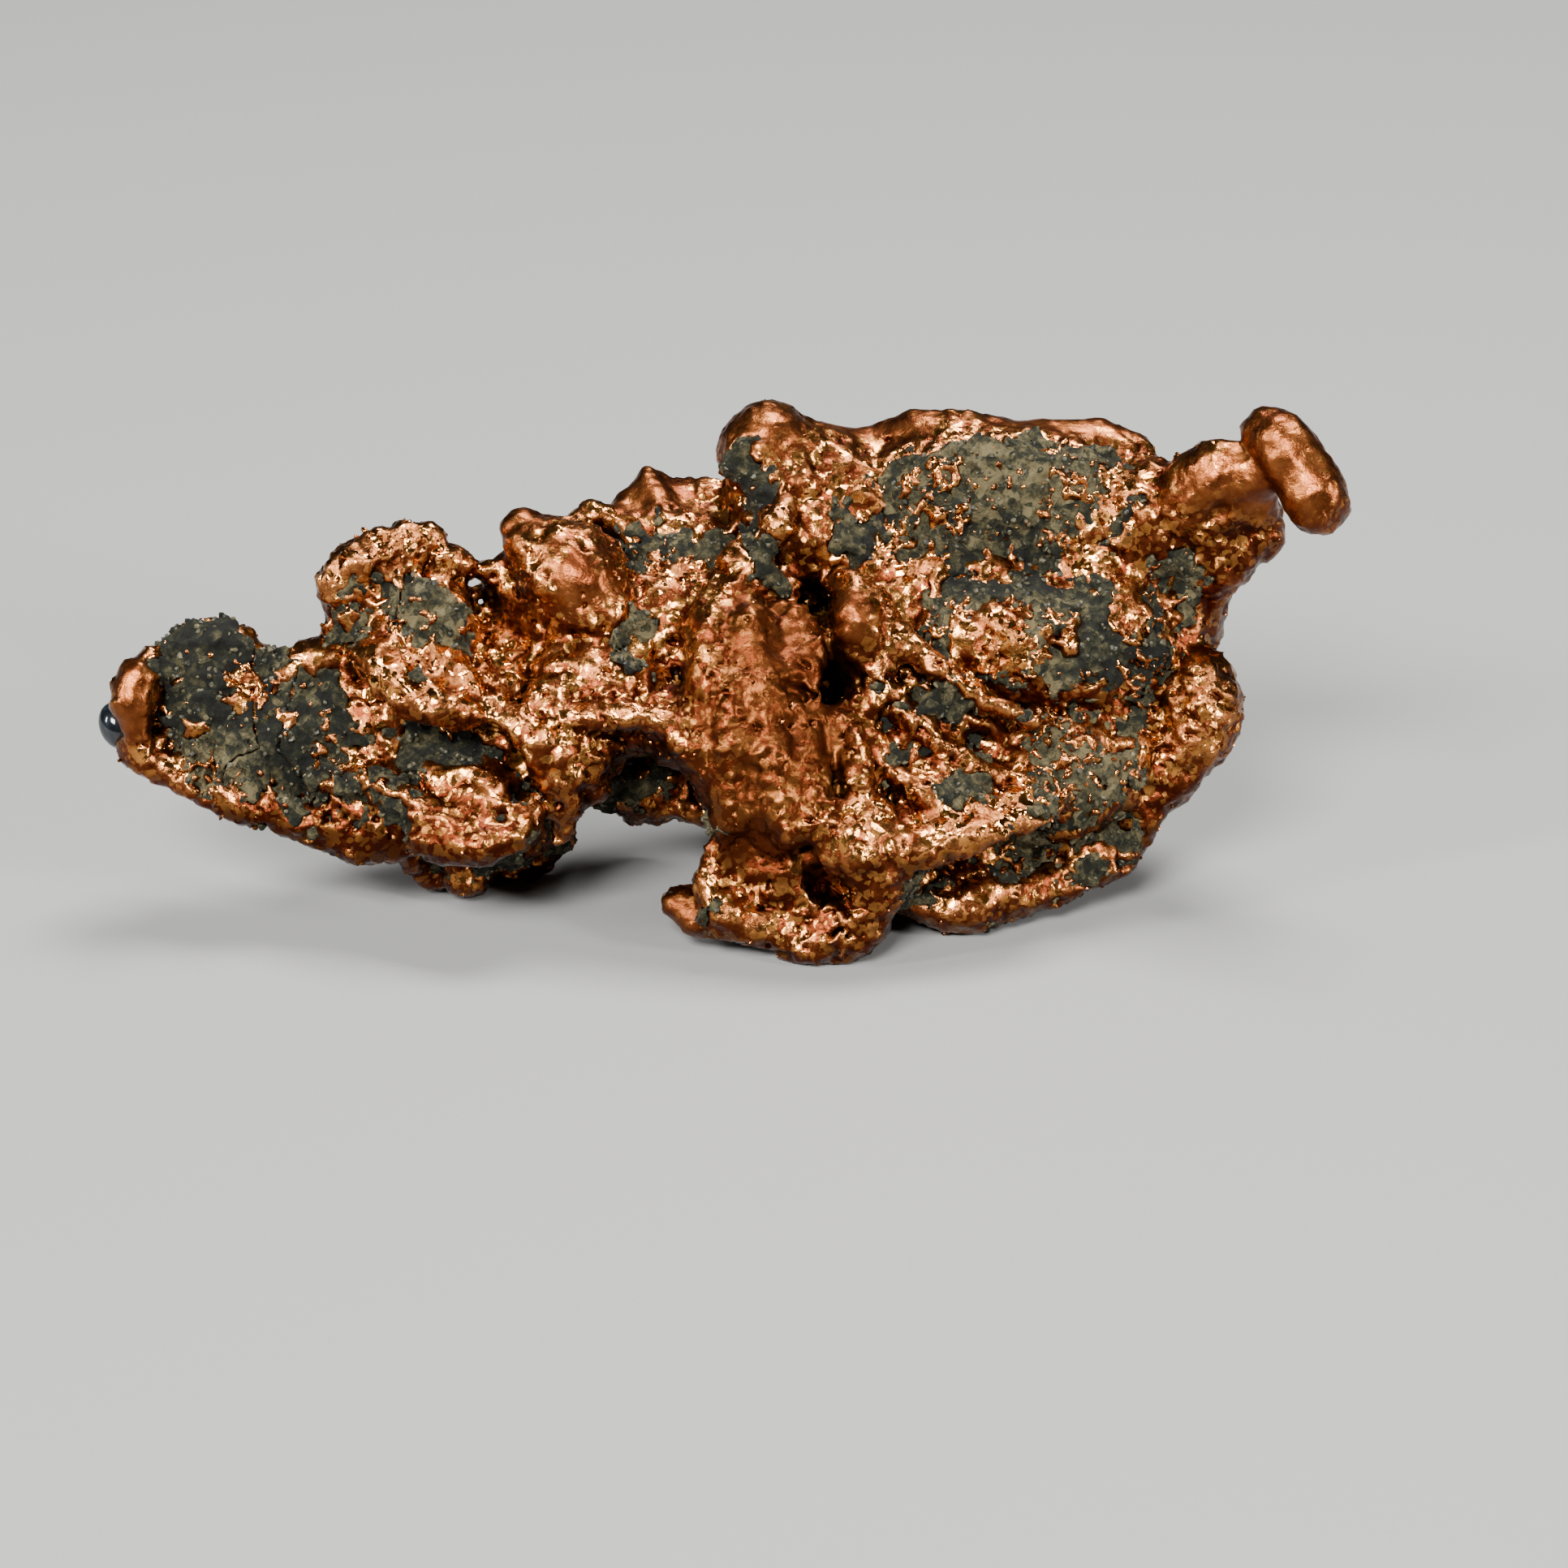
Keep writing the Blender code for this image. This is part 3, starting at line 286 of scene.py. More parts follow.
# Where it is crumpled and full of small bright crystal faces.
crumpledPlaces = (
    ((-12.4, 6.6, 0.0), (2.3, 1.6, 1.6), 10),
    ((-11.1, 3.1, 1.0), (2.2, 1.3, 1.6), 0),
    ((-8.8, 3.7, -0.8), (1.3, 2.1, 1.8), 0),
    ((-9.4, -1.2, 1.2), (1.3, 0.9, 1.2), 0),
    ((-13.4, 0.9, 0.8), (1.1, 1.5, 1.1), 0),
    ((12.4, 2.2, -0.6), (1.9, 2.2, 1.6), 0),
    ((3.9, 8.6, -0.4), (1.8, 2.5, 1.6), 0),
    ((5.9, -1.1, 1.3), (3.0, 1.2, 1.4), 15),
    ((-1.0, -3.6, 1.2), (1.5, 1.0, 1.2), 0),
    ((13.2, 7.9, 0.0), (2.0, 1.1, 1.3), 10),
    ((9.8, 8.3, -0.8), (1.1, 2.2, 1.3), -20),
    ((6.6, 4.1, 1.4), (1.9, 1.5, 1.0), 0),
    ((1.9, -0.6, 2.3), (1.2, 1.2, 1.2), 0),
    ((-3.5, 6.5, -0.3), (1.2, 0.8, 0.9), 0),
    ((-5.3, -0.3, -1.0), (1.5, 1.0, 1.8), 0),
)

# Where the copper is made darker and duller, with fewer bright faces: (centre, radii, turn, how much).
darkeningPlaces = (
    ((-0.5, 1.4, 1.4), (3.0, 4.8, 2.4), 0, 1.0),
    ((-9.9, -1.6, 1.5), (2.5, 1.1, 1.4), 0, 0.85),
    ((12.9, 2.4, -0.8), (1.6, 1.9, 1.6), 0, 0.35),
    ((-14.5, -1.2, 0.2), (3.3, 1.0, 1.6), -10, 0.85),
    ((-9.6, -2.3, -0.5), (2.6, 0.9, 2.4), 0, 0.6),
    ((-5.3, 1.3, 1.2), (1.9, 0.6, 1.4), -10, 0.5),
    ((1.2, -4.3, 0.6), (2.6, 1.2, 1.4), 0, 0.5),
    ((-2.6, -4.1, 0.5), (1.0, 0.7, 1.0), 0, 0.8),
    ((2.7, -2.8, 1.6), (1.2, 1.6, 1.2), 0, 0.35),
    ((8.5, -2.6, -1.5), (4.0, 1.0, 1.6), 20, 0.4),
    ((11.8, -0.2, -1.6), (1.3, 1.9, 1.4), -35, 0.4),
    ((13.4, 7.6, -0.8), (1.9, 1.4, 1.5), 10, 0.5),
)

# Where it is riddled with pinholes.
pittedPlaces = (
    ((-6.3, 6.3, 1.0), (1.7, 1.4, 1.4), -35),
    ((-5.4, 2.9, 1.5), (2.5, 1.5, 1.2), -10),
    ((-0.4, 1.4, 2.2), (2.9, 4.2, 1.4), 0),
    ((-7.6, 6.4, 0.6), (1.3, 1.8, 1.2), 0),
    ((4.6, 0.9, 0.8), (1.7, 2.3, 1.4), 0),
    ((-12.9, -0.4, 1.0), (2.6, 1.3, 1.2), -10),
    ((1.0, -4.2, 1.4), (2.4, 1.2, 1.2), 0),
    ((12.2, 1.6, -0.4), (1.6, 1.8, 1.4), 0),
)

# What each rock fills: (centre, radii, turn, how whole it is); one that is less whole is broken up by
# more copper.
rockPlaces = {
    "rock_tip": ((-17.7, 2.75, 0.4), (1.85, 3.1, 1.7), 10, 1.2),
    "rock_arm": ((-14.25, 1.75, 0.75), (1.4, 2.1, 1.2), -6, 0.8),
    "rock_crest": ((-10.75, 5.05, 0.5), (1.25, 1.5, 0.95), 15, 0.75),
    "rock_arm_hollow": ((-10.35, 1.1, 0.15), (1.8, 0.85, 0.9), 0, 0.6),
    "rock_saddle": ((-3.65, 7.0, -1.4), (2.0, 1.3, 1.3), -6, 0.75),
    "rock_knob": ((-1.1, 9.2, -0.6), (1.0, 1.2, 0.85), 10, 0.5),
    "rock_upper_face": ((7.0, 8.6, -0.6), (4.5, 2.2, 1.7), -3, 1.0),
    "rock_lower_face": ((8.3, 4.7, 0.4), (4.3, 2.35, 1.8), -10, 0.75),
    "rock_right_face": ((9.2, 0.7, 0.2), (2.1, 2.3, 1.5), -14, 0.7),
    "rock_shelf_recess": ((6.4, -2.75, -0.75), (2.6, 1.0, 1.0), 18, 0.6),
    "rock_under_arm": ((-7.2, -1.75, -2.2), (1.0, 0.9, 1.1), 20, 0.5),
    "rock_reverse_leaf": ((5.2, 6.6, -6.9), (3.0, 2.3, 1.4), -15, 0.5),
    "rock_reverse_arm": ((-12.6, 3.4, -3.9), (2.0, 1.3, 1.2), -30, 0.5),
}

# Where copper breaks through the rock.
rockGaps = (
    ((6.5, 4.3, 1.5), (1.3, 1.25, 1.6), 20),
    ((9.8, 8.0, 0.0), (0.55, 1.6, 1.6), -30),
    ((-3.4, 6.4, 0.0), (0.75, 0.4, 1.4), -10),
    ((-16.5, 2.9, 1.2), (0.4, 0.65, 1.0), -10),
    ((-18.7, 3.1, 1.2), (0.4, 0.22, 1.0), 20),
    ((-18.2, 1.85, 1.2), (0.45, 0.22, 1.0), 0),
    ((8.4, 2.3, 1.4), (1.6, 0.35, 1.4), -25),
    ((10.6, 5.6, 0.3), (0.3, 0.9, 1.4), 10),
    ((4.6, 8.1, 0.4), (0.7, 0.5, 1.2), 0),
)

# How thickly flecks of copper lie in the rock: (centre, radii, turn, density).
fleckPlaces = (
    ((-16.5, 2.9, 1.0), (0.7, 0.9, 1.0), 0, 2.5),
    ((-17.0, -0.1, 0.8), (1.8, 0.5, 1.0), -20, 1.0),
    ((-13.7, 1.2, 1.2), (0.7, 1.2, 1.0), 0, 1.2),
    ((-11.7, 5.2, 0.8), (0.9, 0.9, 0.9), 0, 1.0),
    ((-3.4, 6.4, -0.3), (1.2, 0.7, 1.1), 0, 2.0),
    ((4.4, 9.0, 0.3), (1.5, 2.3, 1.5), 0, 1.8),
    ((9.5, 8.6, -0.2), (1.4, 1.8, 1.4), 0, 1.6),
    ((6.8, 8.7, 0.5), (2.6, 1.6, 1.4), 0, 0.5),
    ((6.5, 7.1, 0.4), (3.4, 0.5, 1.4), 0, 0.4),
    ((4.6, 5.2, 1.2), (1.2, 1.4, 1.4), 0, 1.2),
    ((6.6, 4.4, 1.6), (2.0, 1.7, 1.4), 0, 2.6),
    ((11.2, 4.2, -0.2), (1.0, 2.0, 1.5), 0, 1.2),
    ((9.4, 0.9, 0.6), (2.3, 2.3, 1.6), 0, 0.9),
    ((6.6, -2.9, 0.0), (2.8, 1.0, 1.4), 0, 1.0),
)

# How pale or dark the rock is in places: (centre, radii, turn, shift of its tone).
rockTones = (
    ((-17.7, 3.6, 0.4), (2.2, 2.2, 1.8), 0, -0.24),
    ((-18.3, 1.0, 0.5), (1.6, 0.9, 1.6), 30, 0.16),
    ((-16.5, -0.1, 0.6), (1.5, 0.8, 1.4), -20, 0.2),
    ((-14.3, 1.7, 0.8), (1.7, 2.2, 1.5), 0, -0.2),
    ((-10.5, 4.9, 0.6), (1.1, 1.5, 1.1), 0, 0.16),
    ((-9.9, 1.0, 0.4), (2.0, 1.0, 1.2), 0, -0.16),
    ((-4.7, 6.9, -1.2), (1.2, 1.2, 1.2), 0, -0.06),
    ((-4.1, 4.3, 1.4), (0.6, 1.3, 1.1), 25, 0.25),
    ((-1.1, 9.0, -0.5), (1.2, 1.6, 1.2), 0, -0.16),
    ((-0.6, 6.6, 0.8), (0.8, 1.0, 0.9), 0, 0.05),
    ((6.4, 9.0, -0.5), (3.6, 1.7, 1.6), 0, 0.06),
    ((9.9, 8.4, -0.7), (1.7, 1.7, 1.4), 0, -0.04),
    ((6.6, 6.5, 0.0), (3.6, 0.8, 1.5), 3, -0.20),
    ((10.3, 4.6, -0.3), (2.0, 1.6, 1.6), 0, -0.18),
    ((5.3, 5.3, 1.0), (1.7, 0.9, 1.2), 0, 0.14),
    ((9.2, 1.1, 0.3), (2.3, 2.2, 1.5), -20, 0.12),
    ((6.2, -2.7, -0.4), (2.6, 1.0, 1.2), 15, -0.12),
    ((7.5, -2.1, -0.4), (0.8, 0.7, 0.9), 0, 0.2),
    ((-2.45, -1.65, 0.8), (0.6, 0.6, 0.8), 0, 0.25),
)

# Thin scraps of the same rock, too slight to be pieces of their own.
rockScraps = (
    ((-16.2, 0.3, 0.5), (1.6, 0.9, 1.2), -20, 0.3),
    ((-15.9, 2.6, 0.3), (0.9, 1.7, 1.2), 0, 0.3),
    ((-12.9, 5.3, 0.4), (1.4, 0.9, 1.0), 20, 0.1),
    ((-12.5, -0.6, 1.0), (1.9, 0.9, 1.1), -10, 0.4),
    ((-8.3, -0.9, 0.9), (0.8, 1.1, 1.2), 0, 0.2),
    ((-9.6, -2.3, -0.8), (1.6, 0.7, 1.6), 0, 0.2),
    ((-4.15, 4.3, 1.4), (0.5, 1.4, 0.9), 25, 0.5),
    ((-0.5, 6.7, 0.7), (0.55, 0.8, 0.7), 0, 0.4),
    ((-2.45, -1.65, 0.8), (0.5, 0.55, 0.7), 0, 0.6),
    ((2.6, 8.2, -0.4), (0.9, 1.5, 1.3), 0, 0.15),
    ((11.9, 6.5, -1.2), (1.0, 1.7, 1.2), -20, 0.4),
    ((11.6, 5.0, -1.0), (0.9, 1.6, 1.2), 0, 0.2),
    ((6.0, 2.2, 0.9), (1.6, 1.4, 1.2), 0, 0.12),
    ((4.3, 1.9, 0.8), (0.9, 1.6, 1.0), -35, 0.12),
    ((5.2, 0.2, 0.9), (1.4, 0.5, 0.9), -20, 0.12),
    ((9.9, -1.9, -0.9), (1.4, 1.0, 1.2), 40, 0.2),
    ((4.2, -3.2, 0.4), (1.3, 0.8, 1.0), 20, 0.2),
    ((-2.2, -3.7, 0.9), (0.9, 0.6, 0.8), 0, 0.1),
    ((-5.0, -0.2, -1.2), (1.7, 0.6, 1.3), -10, 0.25),
)


# ---- the grid of distances that the form is worked out on
grid = {
    "low": (-22.4, -6.8, -10.6),
    "high": (18.4, 13.0, 4.8),
    "step": 0.1,
    "bodyFar": 3.0,               # the distance given to points that no form reaches
    "placeFar": 9.0,
    "bodyMargin": 0.4,            # how far past a form, beside its blend, its distance is worked out
    "detailMargin": 0.1,
}
gridAxes = [np.arange(low, high, grid["step"], dtype=np.float32)
            for low, high in zip(grid["low"], grid["high"])]
gridShape = tuple(len(axis) for axis in gridAxes)
gridCorner = np.array([axis[0] for axis in gridAxes])


def windowOf(low, high):
    # the slices of the grid between two corners, and their coordinates
    spans = [slice(*np.searchsorted(axis, (start, stop))) for axis, start, stop in zip(gridAxes, low, high)]
    coordinates = [axis[span] for axis, span in zip(gridAxes, spans)]
    return tuple(spans), np.meshgrid(*coordinates, indexing="ij", sparse=True)


def lumpDistance(place, lump):
    (x, y, z), (centre, radii, turn) = place, lump
    cosine, sine = math.cos(math.radians(turn)), math.sin(math.radians(turn))
    dx, dy, dz = x - centre[0], y - centre[1], z - centre[2]
    along, across = dx * cosine + dy * sine, dy * cosine - dx * sine
    reach = np.sqrt((along / radii[0]) ** 2 + (across / radii[1]) ** 2 + (dz / radii[2]) ** 2)
    slope = np.sqrt((along / radii[0] ** 2) ** 2 + (across / radii[1] ** 2) ** 2 + (dz / radii[2] ** 2) ** 2)
    return reach * (reach - 1) / np.maximum(slope, 1e-4)


def rollDistance(place, points):
    x, y, z = place
    nearest = None
    for (ax, ay, az, ra), (bx, by, bz, rb) in zip(points, points[1:]):
        dx, dy, dz = bx - ax, by - ay, bz - az
        length = dx * dx + dy * dy + dz * dz
        share = np.clip(((x - ax) * dx + (y - ay) * dy + (z - az) * dz) / length, 0, 1)
        distance = np.sqrt((x - ax - share * dx) ** 2 + (y - ay - share * dy) ** 2
                           + (z - az - share * dz) ** 2) - (ra + (rb - ra) * share)
        nearest = distance if nearest is None else np.minimum(nearest, distance)
    return nearest


def softMinimum(first, second, blend):
    overlap = np.maximum(blend - np.abs(first - second), 0) / blend
    return np.minimum(first, second) - overlap * overlap * blend / 4


def smoothStep(start, stop, value):
    share = np.clip((value - start) / (stop - start), 0, 1)
    return share * share * (3 - 2 * share)


def lumpBox(lump, margin):
    centre, radii, _ = lump
    reach = max(radii[0], radii[1]) + margin
    return ((centre[0] - reach, centre[1] - reach, centre[2] - radii[2] - margin),
            (centre[0] + reach, centre[1] + reach, centre[2] + radii[2] + margin))


def rollBox(points, margin):
    corners = np.array(points)
    reach = corners[:, 3:].max() + margin
    return corners[:, :3].min(axis=0) - reach, corners[:, :3].max(axis=0) + reach


def blendRolls(field, rolls, blend, margin, side=1):
    # rolls run softly into the field, or are cut out of it where side is -1
    for roll in rolls:
        spans, place = windowOf(*rollBox(roll, blend + margin))
        field[spans] = side * softMinimum(side * field[spans], rollDistance(place, roll), blend)


def buildBody():
    body = np.full(gridShape, grid["bodyFar"], np.float32)
    margin = grid["bodyMargin"]
    for lump in form["lumps"]:
        spans, place = windowOf(*lumpBox(lump, form["lumpBlend"] + margin))
        body[spans] = softMinimum(body[spans], lumpDistance(place, lump), form["lumpBlend"])
    blendRolls(body, form["ridges"], form["ridgeBlend"], margin)
    blendRolls(body, form["creased"], form["creaseBlend"], margin)
    blendRolls(body, form["hollows"], form["hollowBlend"], margin, side=-1)
    return body


splineSpread = 0.45               # how far a spline through random values strays, beside them


def splineWeights(axis, size, count):
    # how much each point of a coarse line of random values counts at each point of a fine axis
    weights = np.zeros((len(axis), count), np.float32)
    position = (axis - axis[0]) / size
    base = position.astype(int)
    part = position - base
    rows = np.arange(len(axis))
    weights[rows, base] = (1 - part) ** 3 / 6
    weights[rows, base + 1] = (3 * part ** 3 - 6 * part ** 2 + 4) / 6
    weights[rows, base + 2] = (-3 * part ** 3 + 3 * part ** 2 + 3 * part + 1) / 6
    weights[rows, base + 3] = part ** 3 / 6
    return weights


def softNoise(sizes, seed):
    # smooth noise over the whole grid, about -1 to 1, with a wavelength in mm along each axis
    sizes = (sizes,) * 3 if isinstance(sizes, (int, float)) else sizes
    counts = [int((axis[-1] - axis[0]) / (size / 2)) + 5 for axis, size in zip(gridAxes, sizes)]
    values = np.random.default_rng(seed).standard_normal(counts).astype(np.float32)
    for order, (axis, size, count) in enumerate(zip(gridAxes, sizes, counts)):
        weights = splineWeights(axis, size / 2, count)
        values = np.moveaxis(np.tensordot(weights, values, axes=(1, order)), 0, order)
    return values / splineSpread


def pillows(sizes, seed):
    # rounded bumps with creases between them, 0 in the creases and nearly 1 on the bumps
    return np.tanh(np.abs(softNoise(sizes, seed)) * 1.3)


def folds(sizes, seed):
    # sharp-crested noise, 0 to 1
    return 1 - np.minimum(np.abs(softNoise(sizes, seed)) * 1.4, 1)


def boxBlur(values, reach):
    # each value spread over its neighbours up to the reach in mm
    radius = int(reach / grid["step"])
    for order in range(3):
        total = np.cumsum(np.moveaxis(values, order, 0), axis=0, dtype=np.float32)
        size = len(total)
        ends = np.minimum(np.arange(size) + radius, size - 1)
        starts = np.maximum(np.arange(size) - radius - 1, 0)
        spread = (total[ends] - total[starts]) / (2 * radius + 1)
        values = np.moveaxis(spread, 0, order)
    return values


def betweenCorners(values, base, part):
    # values part of the way from each base cell's corner to the opposite one
    result = np.zeros(len(base))
    for corner in np.ndindex(2, 2, 2):
        share = np.prod(np.where(corner, part, 1 - part), axis=1)
        result += share * values[tuple((base + corner).T)]
    return result


def sampleGrid(values, points):
    position = (points - gridCorner) / grid["step"]
    base = np.clip(np.floor(position).astype(int), 0, np.array(gridShape) - 2)
    return betweenCorners(values, base, np.clip(position - base, 0, 1))


def pointNoise(points, size, seed):
    # noise looked up at each point, about -1 to 1, for relief finer than the grid
    position = (points - points.min(axis=0)) / size
    base = np.floor(position).astype(int)
    part = position - base
    part = part * part * (3 - 2 * part)
    values = np.random.default_rng(seed).standard_normal(base.max(axis=0) + 2)
    return betweenCorners(values, base, part)


def surfaceNet(values, low):
    # one point in each cell that the surface crosses, joined by four-sided faces
    inside = values < 0
    count = np.zeros(tuple(size - 1 for size in values.shape), np.int8)
    for corner in np.ndindex(2, 2, 2):
        count += inside[tuple(slice(c, c + s) for c, s in zip(corner, count.shape))]
    cells = np.argwhere((count > 0) & (count < 8))
    number = np.full(count.shape, -1, np.int32)
    number[tuple(cells.T)] = np.arange(len(cells))
    total = np.zeros((len(cells), 3))
    crossings = np.zeros(len(cells))
    for axis in range(3):
        others = [a for a in range(3) if a != axis]
        for first, second in np.ndindex(2, 2):
            start = np.zeros(3, int)
            start[others[0]], start[others[1]] = first, second
            stop = start.copy()
            stop[axis] = 1
            a = values[tuple((cells + start).T)]
            b = values[tuple((cells + stop).T)]
            crosses = (a < 0) != (b < 0)
            share = np.where(crosses, a / np.where(a == b, 1, a - b), 0)
            point = start + np.eye(3)[axis] * share[:, None]
            total += point * crosses[:, None]
            crossings += crosses
    points = (cells + total / crossings[:, None]) * grid["step"] + np.array(low)
    faces = []
    for axis in range(3):
        u, v = (axis + 1) % 3, (axis + 2) % 3
        a = np.moveaxis(inside, axis, 0)
        change = np.moveaxis(a[:-1] != a[1:], 0, axis)
        edges = np.argwhere(change)
        edges = edges[(edges[:, u] > 0) & (edges[:, v] > 0)
                      & (edges[:, u] < count.shape[u]) & (edges[:, v] < count.shape[v])]
        stepU, stepV = np.eye(3, dtype=int)[u], np.eye(3, dtype=int)[v]
        ring = [number[tuple((edges - back).T)] for back in (stepU + stepV, stepV, 0 * stepU, stepU)]
        quads = np.stack(ring, axis=1)
        outward = inside[tuple(edges.T)]
        quads[~outward] = quads[~outward][:, ::-1]
        faces.append(quads)
    return points, np.concatenate(faces)


def dropCrumbs(points, faces, smallest):
    # leave out parts with fewer points than the smallest worth keeping
    label = np.arange(len(points))
    pairs = np.concatenate([faces[:, [0, 1]], faces[:, [1, 2]], faces[:, [2, 3]]])
    while True:
        before = label.copy()
        low = np.minimum(label[pairs[:, 0]], label[pairs[:, 1]])
        np.minimum.at(label, pairs[:, 0], low)
        np.minimum.at(label, pairs[:, 1], low)
        label = label[label]
        if (label == before).all():
            break
    sizes = np.bincount(label, minlength=len(points))
    keep = sizes[label] >= smallest
    renumber = np.cumsum(keep) - 1
    return points[keep], renumber[faces[keep[faces[:, 0]]]]


def cornerNormals(points, faces):
    across = np.cross(points[faces[:, 2]] - points[faces[:, 0]], points[faces[:, 3]] - points[faces[:, 1]])
    normals = np.zeros_like(points)
    for corner in range(4):
        np.add.at(normals, faces[:, corner], across)
    return normals / np.maximum(np.linalg.norm(normals, axis=1), 1e-9)[:, None]


def meshFrom(name, points, faces):
    mesh = bpy.data.meshes.new(name)
    mesh.vertices.add(len(points))
    mesh.vertices.foreach_set("co", points.astype(np.float32).ravel())
    mesh.loops.add(faces.size)
    mesh.loops.foreach_set("vertex_index", faces.astype(np.int32).ravel())
    mesh.polygons.add(len(faces))
    mesh.polygons.foreach_set("loop_start", np.arange(0, faces.size, faces.shape[1], dtype=np.int32))
    mesh.update(calc_edges=True)
    mesh.validate()
    piece = bpy.data.objects.new(name, mesh)
    bpy.context.collection.objects.link(piece)
    return piece


def settle(piece):
    # apply a piece's modifiers for good
    depsgraph = bpy.context.evaluated_depsgraph_get()
    mesh = bpy.data.meshes.new_from_object(piece.evaluated_get(depsgraph))
    piece.modifiers.clear()
    piece.data = mesh


def thinOut(piece, triangles, smooth=None):
    # the smooth places keep all their faces, so that they stay round
    count = sum(len(polygon.vertices) - 2 for polygon in piece.data.polygons)
    if count > triangles:
        decimate = piece.modifiers.new("thinOut", "DECIMATE")
        decimate.ratio = triangles / count
        if smooth is not None:
            thinned = piece.vertex_groups.new(name="thinned")
            thinned.add(np.flatnonzero(~smooth).tolist(), 1.0, "REPLACE")
            decimate.vertex_group = thinned.name
        settle(piece)
        piece.vertex_groups.clear()


def pointsOf(piece):
    points = np.empty(len(piece.data.vertices) * 3, np.float32)
    piece.data.vertices.foreach_get("co", points)
    return points.reshape(-1, 3).astype(float)


def giveAttribute(piece, name, values):
    attribute = piece.data.attributes.new(name, "FLOAT", "POINT")
    attribute.data.foreach_set("value", values.astype(np.float32))


def setInPlace(piece):
    piece.data.transform(toWorld)
    piece.data.polygons.foreach_set("use_smooth", np.ones(len(piece.data.polygons), bool))
    piece.data.update()


# ---- copper and rock share one body; the relief of each is its own
copperRelief = {
    "swell": (2.2, 0.11),         # size and height in mm of each layer of unevenness
    "pillows": (0.95, 0.15),      # rounded bumps parted by creases
    "crinkles": (0.42, 0.10),     # the same, smaller, where it is crumpled
    "folds": (1.3, 0.07),         # sharp-crested
    "grit": (0.26, 0.022),
    "ribs": ((0.95, 6.0, 1.5), 0.24),   # upright ribs down the column
    "fine": ((0.2, 0.022), (0.12, 0.012)),   # finer than the grid
    "wornShare": 0.38,            # how much of all that is left on the worn places
    "column": ((-0.3, 1.8, 1.6), (2.9, 4.6, 2.4), 0),
    "columnWear": 0.25,
    "columnCalm": 0.45,           # how much less crumpled the column is
    "edgeSpread": 0.7,            # over how many mm the column and the darkened places fade out
    "leastCrumpled": 0.45,
    "worms": {"count": 1100, "radii": (0.06, 0.13), "lengths": (0.15, 0.65), "lift": 0.06, "blend": 0.09,
              "seed": 11},        # small crooked ridges in the crumpled places
    "pinholes": {"count": 1250, "radii": (0.055, 0.12), "blend": 0.05, "seed": 12},
    "pinholesElsewhere": 0.05,
    "pinholesCrumpled": 0.12,
    "flecks": {"count": 900, "radii": (0.06, 0.14), "lengths": (0.02, 0.16), "lift": 0.09, "blend": 0.05,
               "seed": 13},       # copper that shows through the rock
    "fewestFlecks": 0.04,
    "sinkUnderRock": 0.36,
    "keptRound": 0.6,             # how worn a place is before it keeps all its faces
    "triangles": 198000,
}
rockRelief = {
    "lumps": (1.1, 0.12),
    "grains": (0.4, 0.07),
    "folds": (0.9, 0.1),
    "fine": ((0.2, 0.025), (0.12, 0.015)),
    "edges": ((1.5, 0.38, 21), (0.5, 0.3, 22), (0.28, 0.17, 26)),   # size, reach and seed of its frays
    "gapFray": 0.8,
    "crumb": 40,                  # points; a smaller loose part is left out
    "depth": 1.0,                 # how far the rock reaches down into the copper
    "triangles": 30000,
}


def nearness(places, margin):
    # 1 well inside any of the places, 0 outside them
    distance = np.full(gridShape, grid["placeFar"], np.float32)
    for lump in places:
        spans, place = windowOf(*lumpBox(lump, margin))
        distance[spans] = np.minimum(distance[spans], lumpDistance(place, lump))
    return smoothStep(margin * 0.6, -margin * 0.6, distance)


def surfaceSpots(field, chance, count, seed):
    # random cells on a surface, as points and outward directions
    random = np.random.default_rng(seed)
    cells = np.argwhere(np.abs(field[1:-1, 1:-1, 1:-1]) < grid["step"] * 0.5) + 1
    weight = chance[tuple(cells.T)].astype(float)
    cells = cells[random.choice(len(cells), count, p=weight / weight.sum())]
    outward = np.empty(cells.shape)
    for axis in range(3):
        step = np.eye(3, dtype=int)[axis]
        outward[:, axis] = field[tuple((cells + step).T)] - field[tuple((cells - step).T)]
    outward /= np.maximum(np.linalg.norm(outward, axis=1), 1e-6)[:, None]
    spots = gridCorner + (cells + random.uniform(-0.5, 0.5, cells.shape)) * grid["step"]
    return zip(spots, outward), random


def addCrookedRolls(field, surface, chance, kind):
    # short crooked rolls lying along the surface, each with a root that goes down into it
    places, random = surfaceSpots(surface, chance, kind["count"], kind["seed"])
    rolls = []
    for spot, direction in places:
        along = np.cross(direction, random.standard_normal(3))
        along /= max(np.linalg.norm(along), 1e-6)
        aside = np.cross(direction, along)
        radius = random.uniform(*kind["radii"]) * random.uniform(0.7, 1)
        length = random.uniform(*kind["lengths"])
        middle = spot + direction * (kind["lift"] - radius)
        bend = aside * random.uniform(-0.35, 0.35) * length
        ends = [middle + along * length * side + bend - direction * radius * 0.4 for side in (-0.5, 0.5)]
        rolls.append(((*ends[0], radius * 0.6), (*middle, radius), (*ends[1], radius * 0.7)))
        rolls.append(((*middle, radius), (*(middle - direction * 0.45), radius * 0.8)))
    blendRolls(field, rolls, kind["blend"], grid["detailMargin"])


def cutPits(field, surface, chance, kind):
    places, random = surfaceSpots(surface, chance, kind["count"], kind["seed"])
    pits = []
    for spot, direction in places:
        radius = random.uniform(*kind["radii"])
        mouth = spot + direction * radius * 0.3
        bottom = spot - direction * radius * random.uniform(0.2, 1.2)
        pits.append(((*mouth, radius), (*bottom, radius * 0.8)))
    blendRolls(field, pits, kind["blend"], grid["detailMargin"], side=-1)


